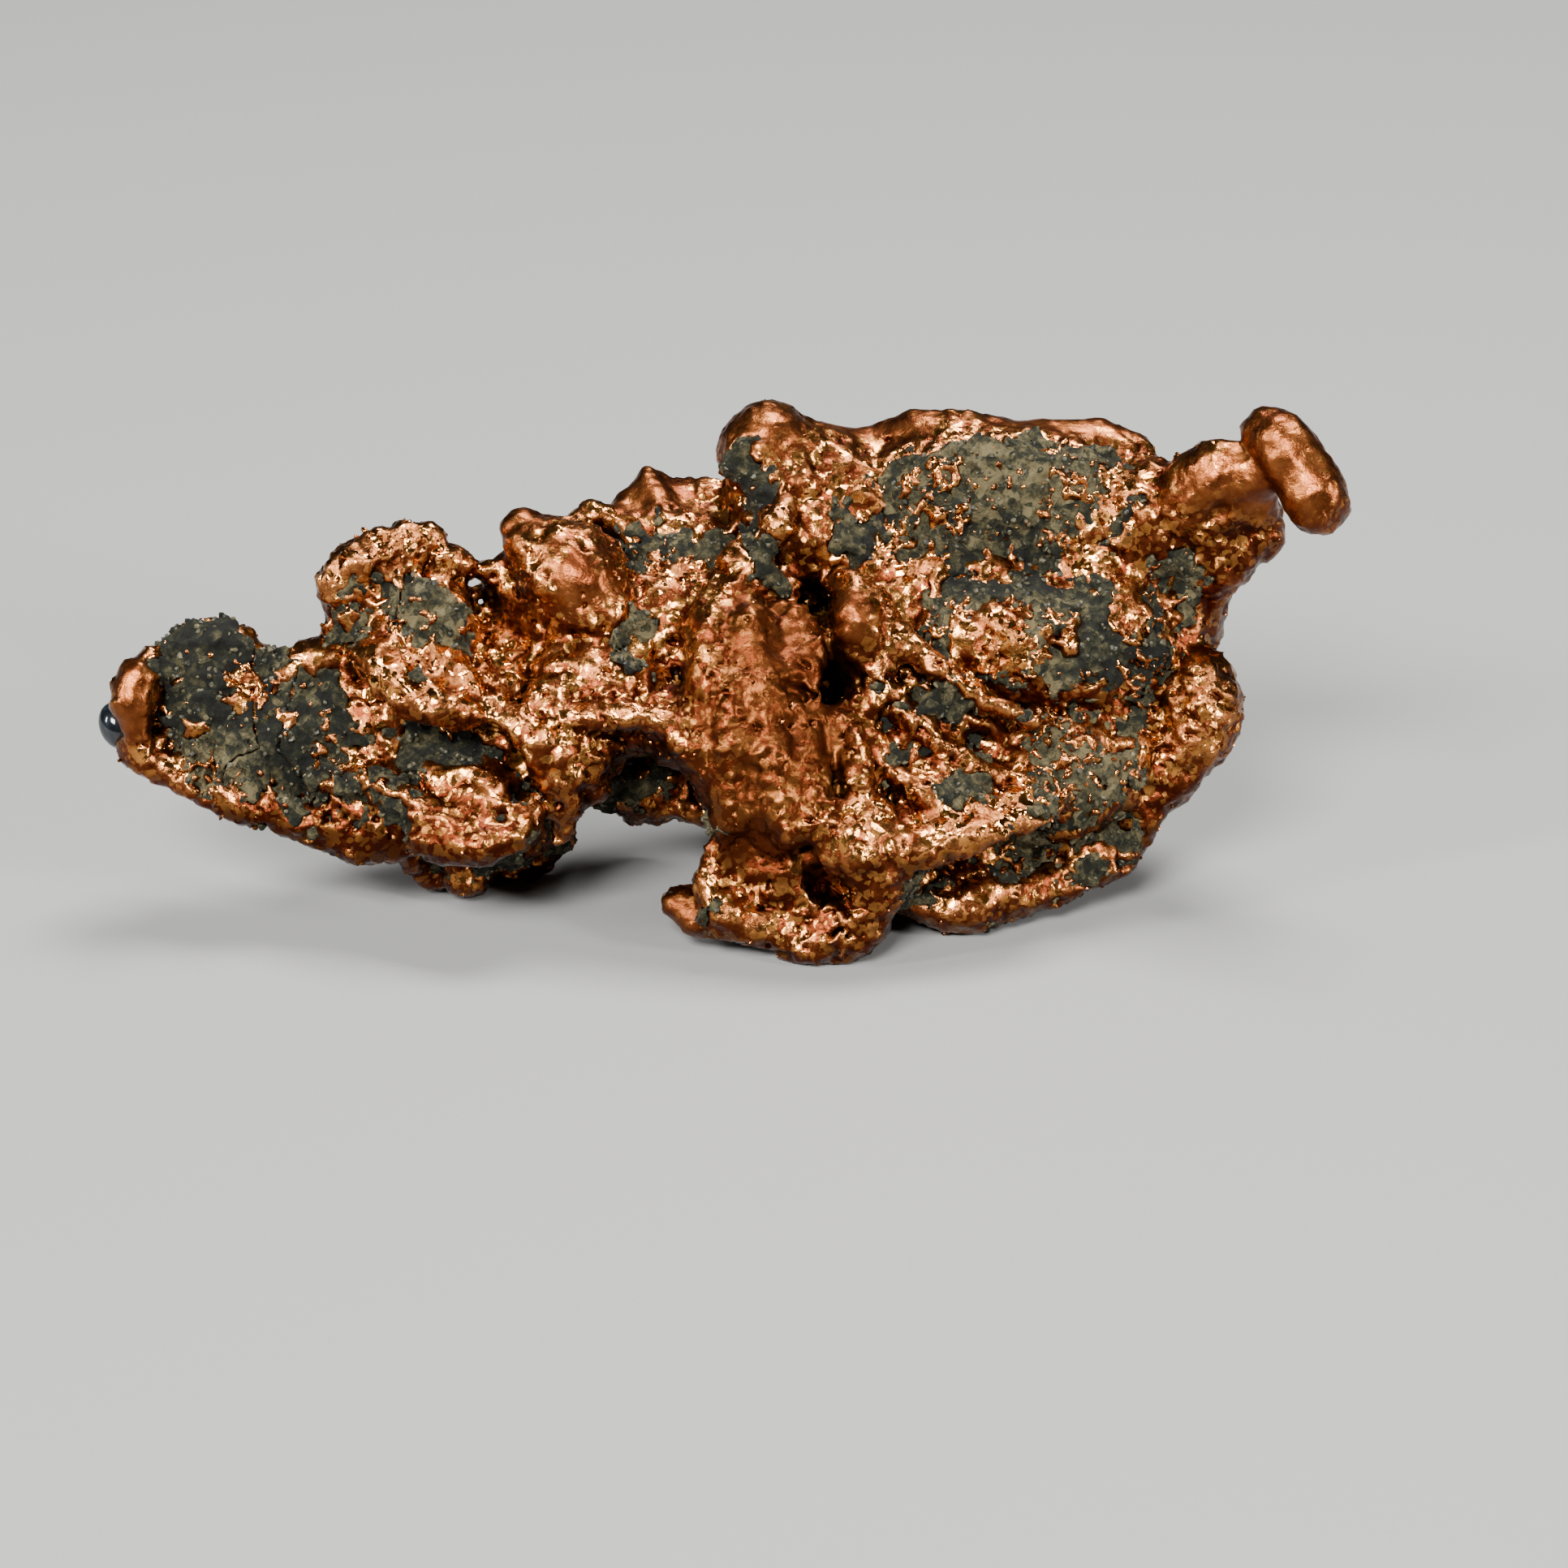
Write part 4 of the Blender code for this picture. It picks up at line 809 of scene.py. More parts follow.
body = buildBody()
print("form built", gridShape)
lean = math.radians(pose["leanDegrees"])
height = gridAxes[1][None, :, None] * math.cos(lean) + gridAxes[2][None, None, :] * math.sin(lean)
floorCut = footLevel - height
column = boxBlur(nearness((copperRelief["column"],), 1.0), copperRelief["edgeSpread"])
worn = np.maximum(nearness(wornPlaces, 0.8), copperRelief["columnWear"] * column)
rugged = 1 - worn * (1 - copperRelief["wornShare"])
crumpled = np.maximum(nearness(crumpledPlaces, 1.0), copperRelief["leastCrumpled"])
crumpled = crumpled * (1 - worn) * (1 - copperRelief["columnCalm"] * column)
pitted = nearness(pittedPlaces, 0.8) * (1 - 0.85 * worn)
swelled = body - softNoise(copperRelief["swell"][0], 3) * copperRelief["swell"][1]


def buildRockDistance():
    # how far each point is outside the rock, and which rock it belongs to
    distance = np.full(gridShape, grid["placeFar"], np.float32)
    nearest = np.full(gridShape, grid["placeFar"], np.float32)
    owner = np.full(gridShape, -1, np.int8)
    edge = sum(softNoise(size, seed) * reach for size, reach, seed in rockRelief["edges"])
    for number, lumps in enumerate([*([lump] for lump in rockPlaces.values()), rockScraps]):
        for *lump, whole in lumps:
            spans, place = windowOf(*lumpBox(lump, 1.6))
            away = lumpDistance(place, lump)
            ragged = np.maximum(away, -whole) + edge[spans]
            nearer = away < nearest[spans]
            owner[spans] = np.where(nearer, number, owner[spans])
            nearest[spans] = np.minimum(nearest[spans], away)
            distance[spans] = np.minimum(distance[spans], ragged)
    for gap in rockGaps:
        spans, place = windowOf(*lumpBox(gap, 1.0))
        cut = -lumpDistance(place, gap) - edge[spans] * rockRelief["gapFray"]
        distance[spans] = np.maximum(distance[spans], cut)
    return distance, owner


def weighted(places, base):
    # a base value, raised in each of the places
    total = np.full(gridShape, base, np.float32)
    for *lump, value in places:
        spans, place = windowOf(*lumpBox(lump, 0.8))
        total[spans] += value * smoothStep(0.5, -0.6, lumpDistance(place, lump))
    return total


rockDistance, rockOwner = buildRockDistance()
paleness = weighted(rockTones, 0.0)
tarnish = boxBlur(weighted(darkeningPlaces, 0.0), copperRelief["edgeSpread"])
fleckShare = weighted(fleckPlaces, copperRelief["fewestFlecks"])
print("rock laid out")


def buildRockBumps():
    size, height = rockRelief["lumps"]
    bumps = softNoise(size, 23) * height
    size, height = rockRelief["grains"]
    bumps += softNoise(size, 24) * height
    size, height = rockRelief["folds"]
    return bumps + (folds(size, 25) - 0.4) * height


def buildCopperField():
    size, height = copperRelief["pillows"]
    relief = (pillows(size, 6) - 0.6) * height * (0.5 + 0.5 * crumpled)
    size, height = copperRelief["crinkles"]
    relief += (pillows(size, 7) - 0.6) * height * (0.35 + 0.65 * crumpled)
    size, height = copperRelief["folds"]
    relief += (folds(size, 5) - 0.45) * height
    size, height = copperRelief["grit"]
    relief += softNoise(size, 8) * height * (1 + 1.5 * column)
    size, height = copperRelief["ribs"]
    relief += softNoise(size, 4) * height * column
    field = swelled - rugged * relief
    inRock = smoothStep(0.15, -0.2, rockDistance)
    buried = smoothStep(0.05, -0.75, rockDistance)
    addCrookedRolls(field, field, crumpled ** 1.5 * (1 - inRock), copperRelief["worms"])
    pitChance = (copperRelief["pinholesElsewhere"] * (1 - worn) + pitted
                 + copperRelief["pinholesCrumpled"] * crumpled) * (1 - inRock)
    cutPits(field, field, pitChance, copperRelief["pinholes"])
    field += copperRelief["sinkUnderRock"] * buried
    addCrookedRolls(field, swelled - rockBumps, fleckShare * inRock, copperRelief["flecks"])
    return np.maximum(field, floorCut)


rockBumps = buildRockBumps()
copperSkin = buildCopperField()
print("copper field built")

# How much of the space round a point is filled tells how deep in a recess it lies: the reach in mm
# of that space, and the share that counts as the open and as the deepest.
recesses = {"recessNear": (0.3, 0.35, 0.75), "recessWide": (0.9, 0.3, 0.8)}
occupied = (copperSkin < 0).astype(np.float32)
recessFields = {name: boxBlur(boxBlur(occupied, reach), reach) for name, (reach, *_) in recesses.items()}


def giveSkinAttributes(piece, more):
    points = pointsOf(piece)
    for name, (_, openest, deepest) in recesses.items():
        depth = (sampleGrid(recessFields[name], points) - openest) / (deepest - openest)
        giveAttribute(piece, name, np.clip(depth, 0, 1))
    for name, values in {"wornness": worn, "crumple": crumpled, "tarnish": tarnish, **more}.items():
        giveAttribute(piece, name, sampleGrid(values, points))


def keepOnFloor(points):
    # nothing reaches below the floor
    heights = points[:, 1] * math.cos(lean) + points[:, 2] * math.sin(lean)
    lift = np.maximum(footLevel - heights, 0)
    points[:, 1] += lift * math.cos(lean)
    points[:, 2] += lift * math.sin(lean)


def addFineRelief(points, faces, layers, seed, share=1):
    # relief finer than the grid, kept above the floor
    push = sum(pointNoise(points, size, seed + order) * height for order, (size, height) in enumerate(layers))
    points = points + cornerNormals(points, faces) * (push * share)[:, None]
    keepOnFloor(points)
    return points


def buildCopper():
    points, faces = surfaceNet(copperSkin, gridCorner)
    points, faces = dropCrumbs(points, faces, len(points) // 2)
    points = addFineRelief(points, faces, copperRelief["fine"], 31, sampleGrid(rugged, points))
    piece = meshFrom("copperSkin", points, faces)
    thinOut(piece, copperRelief["triangles"], sampleGrid(worn, points) > copperRelief["keptRound"])
    giveSkinAttributes(piece, {})
    setInPlace(piece)
    return piece


def buildRock(name, number, lumps):
    boxes = [lumpBox(lump[:3], 1.0) for lump in lumps]
    low = np.min([box[0] for box in boxes], axis=0)
    high = np.max([box[1] for box in boxes], axis=0)
    spans, place = windowOf(low, high)
    skin = swelled[spans] - rockBumps[spans]
    rock = np.maximum(np.maximum(skin, rockDistance[spans]), floorCut[:, spans[1], spans[2]])
    rock = np.maximum(rock, -skin - rockRelief["depth"])
    rock[rockOwner[spans] != number] = 1.0
    points, faces = surfaceNet(rock, [coordinate.min() for coordinate in place])
    points, faces = dropCrumbs(points, faces, rockRelief["crumb"])
    points = addFineRelief(points, faces, rockRelief["fine"], 41)
    piece = meshFrom(name, points, faces)
    thinOut(piece, rockRelief["triangles"])
    giveSkinAttributes(piece, {"paleness": paleness, "fleckShare": fleckShare})
    setInPlace(piece)
    return piece


copper = buildCopper()
print("copper skin", len(copper.data.polygons), "faces")
rocks = {name: buildRock(name.replace("rock_", "hostRock_"), number, [lump])
         for number, (name, lump) in enumerate(rockPlaces.items())}
scraps = buildRock("rockScraps", len(rockPlaces), rockScraps)
print("rocks", {name: len(rock.data.polygons) for name, rock in rocks.items()}, len(scraps.data.polygons))


def buildBead():
    low, high = lumpBox(pose["bead"], grid["bodyMargin"])
    _, place = windowOf(low, high)
    skin = lumpDistance(place, pose["bead"])
    points, faces = surfaceNet(skin, [coordinate.min() for coordinate in place])
    piece = meshFrom("glossyBead", points, faces)
    setInPlace(piece)
    return piece


bead = buildBead()


# ---- nodes, for the grains and the materials
def linear(hexColour):
    channels = [int(hexColour[i:i + 2], 16) / 255 for i in (1, 3, 5)]
    return (*(c / 12.92 if c <= 0.04045 else ((c + 0.055) / 1.055) ** 2.4 for c in channels), 1.0)


def fillIn(tree, node, settings):
    # a setting is a ramp's stops, a property or an input; an input takes a value, a node or an output
    for name, value in settings.items():
        if name == "stops":
            elements = node.color_ramp.elements
            while len(elements) < len(value):
                elements.new(0.5)
            for element, (position, colour) in zip(elements, value):
                element.position = position
                element.color = linear(colour)
        elif isinstance(name, str) and name not in node.inputs:
            setattr(node, name, value)
        else:
            inUse = [socket for socket in node.inputs if socket.enabled and socket.name == name]
            socket = inUse[0] if inUse else node.inputs[name]
            if isinstance(value, bpy.types.Node):
                value = next(output for output in value.outputs if output.enabled)
            if isinstance(value, bpy.types.NodeSocket):
                tree.links.new(value, socket)
            else:
                socket.default_value = value


def addNode(tree, kind, settings):
    node = tree.nodes.new(kind)
    fillIn(tree, node, settings)
    return node


grains = {
    "copperCrystals": {"perSquareMm": 1.8, "smallest": 0.035, "largest": 0.1, "seed": 51},
    "copperSpecks": {"perSquareMm": 3.2, "smallest": 0.03, "largest": 0.085, "seed": 52},
    "rockCrystals": {"perSquareMm": 6.5, "smallest": 0.04, "largest": 0.12, "seed": 53},
    "proportions": (0.55, 1.2),   # the narrowest and the widest that a grain is along an axis
    "turn": 6.28,
    "unevenness": (0.15, 0.1),    # size and reach in mm
}


def grainTree():
    # angular grains strewn over a surface and half sunk in it
    tree = bpy.data.node_groups.new("grains", "GeometryNodeTree")
    for name, kind in (("Geometry", "Geometry"), ("Per square metre", "Float"), ("Smallest", "Float"),
                       ("Largest", "Float"), ("Seed", "Int"), ("Material", "Material")):
        tree.interface.new_socket(name, in_out="INPUT", socket_type="NodeSocket" + kind)
    tree.interface.new_socket("Geometry", in_out="OUTPUT", socket_type="NodeSocketGeometry")
    narrowest, widest = grains["proportions"]
    patchSize, reach = grains["unevenness"]
    given = addNode(tree, "NodeGroupInput", {}).outputs
    share = addNode(tree, "GeometryNodeInputNamedAttribute", {"data_type": "FLOAT", "Name": "grainShare"})
    density = addNode(tree, "ShaderNodeMath", {
        "operation": "MULTIPLY", 0: given["Per square metre"], 1: share})
    points = addNode(tree, "GeometryNodeDistributePointsOnFaces", {
        "distribute_method": "RANDOM", "Mesh": given["Geometry"], "Density": density, "Seed": given["Seed"]})
    grain = addNode(tree, "GeometryNodeMeshIcoSphere", {"Radius": 1.0, "Subdivisions": 1})
    turn = addNode(tree, "FunctionNodeRandomValue", {
        "data_type": "FLOAT_VECTOR", "Min": (0, 0, 0), "Max": (grains["turn"],) * 3, "Seed": given["Seed"]})
    proportions = addNode(tree, "FunctionNodeRandomValue", {
        "data_type": "FLOAT_VECTOR", "Min": (narrowest,) * 3, "Max": (widest,) * 3})
    size = addNode(tree, "FunctionNodeRandomValue", {
        "data_type": "FLOAT", "Min": given["Smallest"], "Max": given["Largest"], "Seed": given["Seed"]})
    scale = addNode(tree, "ShaderNodeVectorMath", {"operation": "SCALE", 0: proportions, "Scale": size})
    placed = addNode(tree, "GeometryNodeInstanceOnPoints", {
        "Points": points, "Instance": grain, "Rotation": turn, "Scale": scale})
    real = addNode(tree, "GeometryNodeRealizeInstances", {"Geometry": placed})
    noise = addNode(tree, "ShaderNodeTexNoise", {
        "Scale": perMetre / patchSize, "Detail": 0, "Vector": addNode(tree, "GeometryNodeInputPosition", {})})
    centred = addNode(tree, "ShaderNodeVectorMath", {
        "operation": "SUBTRACT", 0: noise.outputs["Color"], 1: (0.5, 0.5, 0.5)})
    push = addNode(tree, "ShaderNodeVectorMath", {
        "operation": "SCALE", 0: centred, "Scale": reach * millimetre})
    uneven = addNode(tree, "GeometryNodeSetPosition", {"Geometry": real, "Offset": push})
    finished = addNode(tree, "GeometryNodeSetMaterial", {"Geometry": uneven, "Material": given["Material"]})
    addNode(tree, "NodeGroupOutput", {"Geometry": finished})
    return tree


def strewGrains(name, ground, material):
    # ground is a throwaway object with a grainShare attribute
    sizes = grains[name]
    strewn = ground.modifiers.new(name, "NODES")
    strewn.node_group = grainNodes
    values = {
        "Per square metre": sizes["perSquareMm"] / millimetre ** 2,
        "Smallest": sizes["smallest"] * millimetre,
        "Largest": sizes["largest"] * millimetre,
        "Seed": sizes["seed"],
        "Material": material,
    }
    for socket in grainNodes.interface.items_tree:
        if socket.in_out == "INPUT" and socket.name in values:
            strewn[socket.identifier] = values[socket.name]
    mesh = bpy.data.meshes.new_from_object(ground.evaluated_get(bpy.context.evaluated_depsgraph_get()))
    ground.modifiers.clear()
    piece = bpy.data.objects.new(name, mesh)
    points = pointsOf(piece)
    points[:, 2] = np.maximum(points[:, 2], 0)
    mesh.vertices.foreach_set("co", points.astype(np.float32).ravel())
    bpy.context.collection.objects.link(piece)
    return piece


def throwawayCopy(name, pieces, shareOf):
    # all the pieces' faces in one mesh, with how thickly grains lie on each point
    points, faces, start = [], [], 0
    for piece in pieces:
        piece.data.calc_loop_triangles()
        corners = np.empty(len(piece.data.loop_triangles) * 3, np.int32)
        piece.data.loop_triangles.foreach_get("vertices", corners)
        faces.append(corners.reshape(-1, 3) + start)
        points.append(pointsOf(piece))
        start += len(points[-1])
    ground = meshFrom(name, np.concatenate(points), np.concatenate(faces))
    giveAttribute(ground, "grainShare", np.concatenate([shareOf(piece) for piece in pieces]))
    return ground


def readAttribute(piece, name):
    values = np.empty(len(piece.data.vertices), np.float32)
    piece.data.attributes[name].data.foreach_get("value", values)
    return values


# ---- materials
def newMaterial(name):
    material = bpy.data.materials.new(name)
    material.use_nodes = True
    return material, material.node_tree, material.node_tree.nodes["Principled BSDF"]


def surfacePatterns(tree, finish, stored=()):
    # what a finish goes by: values stored on the mesh, and noise of real sizes
    patterns = {"place": addNode(tree, "ShaderNodeTexCoord", {}).outputs["Object"]}
    for name in stored:
        patterns[name] = addNode(tree, "ShaderNodeAttribute", {"attribute_name": name}).outputs["Fac"]
    for name, (size, detail, roughness) in finish["noise"].items():
        patterns[name] = addNode(tree, "ShaderNodeTexNoise", {
            "Scale": perMetre / size, "Detail": detail, "Roughness": roughness, "Vector": patterns["place"]})
    return patterns


def addShares(tree, value, shares, patterns):
    # the value with a share of each named pattern added to it
    for name, share in shares.items():
        value = addNode(tree, "ShaderNodeMath", {
            "operation": "MULTIPLY_ADD", 0: patterns[name], 1: share, 2: value})
    return value


copperFinish = {
    "clean": "#F2A754",           # the untarnished crystal faces
    "cleanShare": 0.72,
    "oxideAndShadeColours": ((0.12, "#8C552D"), (0.42, "#592914"), (0.8, "#351106")),   # bare metal to thick red oxide, and darker for the painted shade of the undersides
    "rubbed": ((0.4, "#582B15"), (0.62, "#814A25")),   # the knobs, brownish pink
    "holeShade": "#0B0605",            # black painted into the deepest holes as shade
    "holeShadeDepths": (0.84, 0.98),   # how deep a recess is where it starts, and where it is full
    "noise": {"cloud": (1.5, 6, 0.65), "dents": (0.5, 6, 0.7), "grit": (0.11, 2, 0.6)},   # size in mm
    "underside": (0.45, -0.15),   # how far up a surface faces where its underside starts, and is full
    "oxideAndUnderShade": {"under": 0.75, "recessNear": 1.5, "recessWide": 0.4, "cloud": 1.1, "dents": 1.9, "grit": 0.9,
              "crumple": -0.8, "tarnish": 1.2},   # what each adds to the oxide, and under adds painted shade on the undersides
    "oxideAndUnderShadeSpread": (0.5, -0.77),
    "crystals": ((0.32, 1.0), (0.15, 0.8)),   # mm across the faces that flash, and how far each size leans
    "tilt": 0.85,                 # how far those faces lean from the surface
    "leastTilt": 0.1,             # the share of that where nothing is crumpled
    "wornTilt": 0.12,             # and on the rubbed knobs
    "lively": 0.26,               # the share of the faces that lean that far
    "stillTilt": 0.2,             # how far the rest lean, beside them
    "flash": (0.05, 0.12),        # the lean at which a face starts to be bright, and is fully so
    "barenessAndUnderShade": {"crumple": (0.7, 0.3), "under": (-0.8, 1.0), "tarnish": (-0.95, 1.0)},   # slope and start; under hides the bright faces on the undersides, as painted shade
    "flatness": 0.85,             # how much of its dents a bright face loses
    "relief": {"dents": 0.13, "grit": 0.03},   # mm deep
    "dentShares": (0.12, 0.45),   # where smooth, where crumpled
    "gritShare": 0.5,
    "dull": {"recessWide": 0.22},
    "dullSpread": (0.35, 0.85),
    "gloss": (0.22, 0.42),
    "glossShifts": {"bright": -0.16, "wornness": 0.05, "tarnish": 0.1},
}


def oxideAndShadeColour(tree, patterns):
    # bare metal under oxide that thickens in the recesses, rubbed on the knobs, with painted shade on the
    # undersides and painted black shade in the deepest holes
    # the oxide, with painted shade on the undersides added in
    oxideAndUnderShade = addShares(tree, 0.0, copperFinish["oxideAndUnderShade"], patterns)
    slope, start = copperFinish["oxideAndUnderShadeSpread"]
    shift = addNode(tree, "ShaderNodeMath", {"operation": "MULTIPLY_ADD", 0: oxideAndUnderShade, 1: slope, 2: start})
    oxideAndShadeColours = addNode(tree, "ShaderNodeValToRGB", {"Fac": shift, "stops": copperFinish["oxideAndShadeColours"]})
    rubbed = addNode(tree, "ShaderNodeValToRGB", {"Fac": patterns["cloud"], "stops": copperFinish["rubbed"]})
    worn = addNode(tree, "ShaderNodeMix", {
        "data_type": "RGBA", "Factor": patterns["wornness"], "A": oxideAndShadeColours, "B": rubbed})
    # painted black shade in the deepest holes, by how enclosed the recess is
    shallow, deep = copperFinish["holeShadeDepths"]
    black = addNode(tree, "ShaderNodeMapRange", {
        "From Min": shallow, "From Max": deep, "Value": patterns["recessWide"]})
    return addNode(tree, "ShaderNodeMix", {
        "data_type": "RGBA", "Factor": black, "A": worn, "B": linear(copperFinish["holeShade"])})


def crystalFaces(tree, patterns):
    # small flat faces that lean from the surface: which way they face, and which of them are bright
    tilt, still = copperFinish["tilt"], copperFinish["stillTilt"]
    lean = addNode(tree, "ShaderNodeMapRange", {
        "To Min": copperFinish["leastTilt"] * tilt, "To Max": tilt, "Value": patterns["crumple"]})
    calm = addNode(tree, "ShaderNodeMapRange", {
        "To Min": 1.0, "To Max": copperFinish["wornTilt"], "Value": patterns["wornness"]})
    reach = addNode(tree, "ShaderNodeMath", {"operation": "MULTIPLY", 0: lean, 1: calm})
    normal = addNode(tree, "ShaderNodeNewGeometry", {}).outputs["Normal"]
    bright = calm
    for size, share in copperFinish["crystals"]:
        cells = addNode(tree, "ShaderNodeTexVoronoi", {"Scale": perMetre / size, "Vector": patterns["place"]})
        chance = addNode(tree, "ShaderNodeTexWhiteNoise", {"Vector": cells.outputs["Position"]})
        lively = addNode(tree, "ShaderNodeMath", {
            "operation": "GREATER_THAN", 0: chance, 1: 1 - copperFinish["lively"]})
        part = addNode(tree, "ShaderNodeMath", {
            "operation": "MULTIPLY_ADD", 0: lively, 1: (1 - still) * share, 2: still * share})
        amount = addNode(tree, "ShaderNodeMath", {"operation": "MULTIPLY", 0: reach, 1: part})
        centred = addNode(tree, "ShaderNodeVectorMath", {
            "operation": "SUBTRACT", 0: cells.outputs["Color"], 1: (0.5, 0.5, 0.5)})
        leaning = addNode(tree, "ShaderNodeVectorMath", {"operation": "SCALE", 0: centred, "Scale": amount})
        normal = addNode(tree, "ShaderNodeVectorMath", {"operation": "ADD", 0: normal, 1: leaning})
        bright = addNode(tree, "ShaderNodeMath", {"operation": "MULTIPLY", 0: bright, 1: part})
    normal = addNode(tree, "ShaderNodeVectorMath", {"operation": "NORMALIZE", 0: normal})
    dimmest, brightest = copperFinish["flash"]
    bright = addNode(tree, "ShaderNodeMapRange", {
        "From Min": dimmest, "From Max": brightest, "Value": bright})
    # fewer faces are bright on the undersides: painted shade
    for name, (slope, start) in copperFinish["barenessAndUnderShade"].items():
        bare = addNode(tree, "ShaderNodeMath", {
            "operation": "MULTIPLY_ADD", 0: patterns[name], 1: slope, 2: start})
        bright = addNode(tree, "ShaderNodeMath", {"operation": "MULTIPLY", 0: bright, 1: bare})
    return normal, bright


def dentedNormal(tree, patterns, normal):
    # dents and grit, which the bright flat faces have little of
    flat = addNode(tree, "ShaderNodeMath", {
        "operation": "MULTIPLY_ADD", 0: patterns["bright"], 1: -copperFinish["flatness"], 2: 1.0})
    smooth, rough = copperFinish["dentShares"]
    dented = addNode(tree, "ShaderNodeMapRange", {
        "To Min": smooth, "To Max": rough, "Value": patterns["crumple"]})
    for name, share in (("dents", dented), ("grit", copperFinish["gritShare"])):
        strength = addNode(tree, "ShaderNodeMath", {"operation": "MULTIPLY", 0: flat, 1: share})
        normal = addNode(tree, "ShaderNodeBump", {
            "Distance": copperFinish["relief"][name] * millimetre, "Height": patterns[name],
            "Normal": normal, "Strength": strength})
    return normal


def nativeCopper():
    # natural copper: satin on the rubbed knobs, crystalline and glinting between them, with a film of
    # red oxide that thickens down in the hollows, painted shade on the undersides and painted black shade in
    # the deepest holes
    material, tree, shader = newMaterial("nativeCopper")
    patterns = surfacePatterns(
        tree, copperFinish, ("recessNear", "recessWide", "wornness", "crumple", "tarnish"))
    facing = addNode(tree, "ShaderNodeTexCoord", {}).outputs["Normal"]
    upward = addNode(tree, "ShaderNodeSeparateXYZ", {0: facing})
    # how far a surface faces down, for the painted shade on the undersides
    level, down = copperFinish["underside"]
    patterns["under"] = addNode(tree, "ShaderNodeMapRange", {
        "From Min": level, "From Max": down, "Value": upward.outputs["Z"]})
    normal, patterns["bright"] = crystalFaces(tree, patterns)
    cleaned = addNode(tree, "ShaderNodeMath", {
        "operation": "MULTIPLY", 0: patterns["bright"], 1: copperFinish["cleanShare"]})
    colour = addNode(tree, "ShaderNodeMix", {
        "data_type": "RGBA", "Factor": cleaned, "A": oxideAndShadeColour(tree, patterns),
        "B": linear(copperFinish["clean"])})
    dull = addShares(tree, patterns["dents"], copperFinish["dull"], patterns)
    least, most = copperFinish["dullSpread"]
    glossiest, dullest = copperFinish["gloss"]
    gloss = addNode(tree, "ShaderNodeMapRange", {
        "From Min": least, "From Max": most, "To Min": glossiest, "To Max": dullest, "Value": dull})
    fillIn(tree, shader, {
        "Base Color": colour,
        "Metallic": 1.0,
        "Roughness": addShares(tree, gloss, copperFinish["glossShifts"], patterns),
        "Normal": dentedNormal(tree, patterns, normal),
    })
    return material


rockFinish = {
    "colours": ((0.2, "#090905"), (0.42, "#16170B"), (0.62, "#322E1C"), (0.9, "#574E35")),   # dark to pale
    "noise": {"patches": (2.6, 5, 0.6), "speckle": (0.4, 6, 0.75)},   # size in mm
    "grain": 0.3,
    "tone": {"patches": 0.6, "speckle": 1.15, "grainTone": 0.28},
    "toneSpread": (1.6, -1.08),
    "lumpRelief": (1.0, 0.25),    # strength, and mm deep
    "pitRelief": (0.7, 0.12),
    "roughness": 0.9,
    "specular": 0.2,
}


def hostRock():
    # fine-grained altered basalt: dark green chlorite, mottled with paler grey-green and cream grains,
    # dull, with a few glassy specks
    material, tree, shader = newMaterial("hostRock")
    patterns = surfacePatterns(tree, rockFinish, ("paleness",))
    cells = addNode(tree, "ShaderNodeTexVoronoi", {
        "Scale": perMetre / rockFinish["grain"], "Vector": patterns["place"]})
    patterns["grainTone"] = addNode(tree, "ShaderNodeSeparateColor", {"Color": cells.outputs["Color"]})
    tone = addShares(tree, 0.0, rockFinish["tone"], patterns)
    slope, start = rockFinish["toneSpread"]
    shift = addNode(tree, "ShaderNodeMath", {"operation": "MULTIPLY_ADD", 0: tone, 1: slope, 2: start})
    placed = addNode(tree, "ShaderNodeMath", {"operation": "ADD", 0: shift, 1: patterns["paleness"]})
    relief = {}
    for height, (strength, depth) in ((patterns["speckle"], rockFinish["lumpRelief"]),
                                      (cells.outputs["Distance"], rockFinish["pitRelief"])):
        relief["Normal"] = addNode(tree, "ShaderNodeBump", {
            "Strength": strength, "Distance": depth * millimetre, "Height": height, **relief})
    fillIn(tree, shader, {
        "Base Color": addNode(tree, "ShaderNodeValToRGB", {"Fac": placed, "stops": rockFinish["colours"]}),
        "Roughness": rockFinish["roughness"],
        "Specular IOR Level": rockFinish["specular"],
        **relief,
    })
    return material


crystalFinish = {
    "colours": ((0.38, "#121208"), (0.5, "#272516"), (0.6, "#3E3926"), (0.74, "#645A41")),
    "noise": {"mottle": (0.5, 3, 0.7)},
    "roughness": 0.5,
    "specular": 0.3,
}
beadFinish = {
    "colours": ((0.4, "#0B0D10"), (0.7, "#1B2226")),
    "noise": {"mottle": (0.4, 3, 0.5)},
    "roughness": 0.12,
    "specular": 0.5,
}


def mottledMineral(name, finish):
    material, tree, shader = newMaterial(name)
    mottle = surfacePatterns(tree, finish)["mottle"]
    fillIn(tree, shader, {
        "Base Color": addNode(tree, "ShaderNodeValToRGB", {"Fac": mottle, "stops": finish["colours"]}),
        "Roughness": finish["roughness"],
        "Specular IOR Level": finish["specular"],
    })
    return material


def barenessOf(piece):
    # grains of copper lie thickest where it is crumpled, and few are left where it is worn
    spread = readAttribute(piece, "crumple") + 0.12 + 0.25 * readAttribute(piece, "tarnish")
    return spread * (1 - readAttribute(piece, "wornness")) * (1 - 0.6 * readAttribute(piece, "recessWide"))


copperMaterial = nativeCopper()
rockMaterial = hostRock()
# grains of feldspar, epidote and quartz in the rock: grey, olive and cream, a little glassy
crystalMaterial = mottledMineral("paleCrystal", crystalFinish)
# a rounded grain of black glassy mineral, polished by wear
beadMaterial = mottledMineral("glossyBlackMineral", beadFinish)

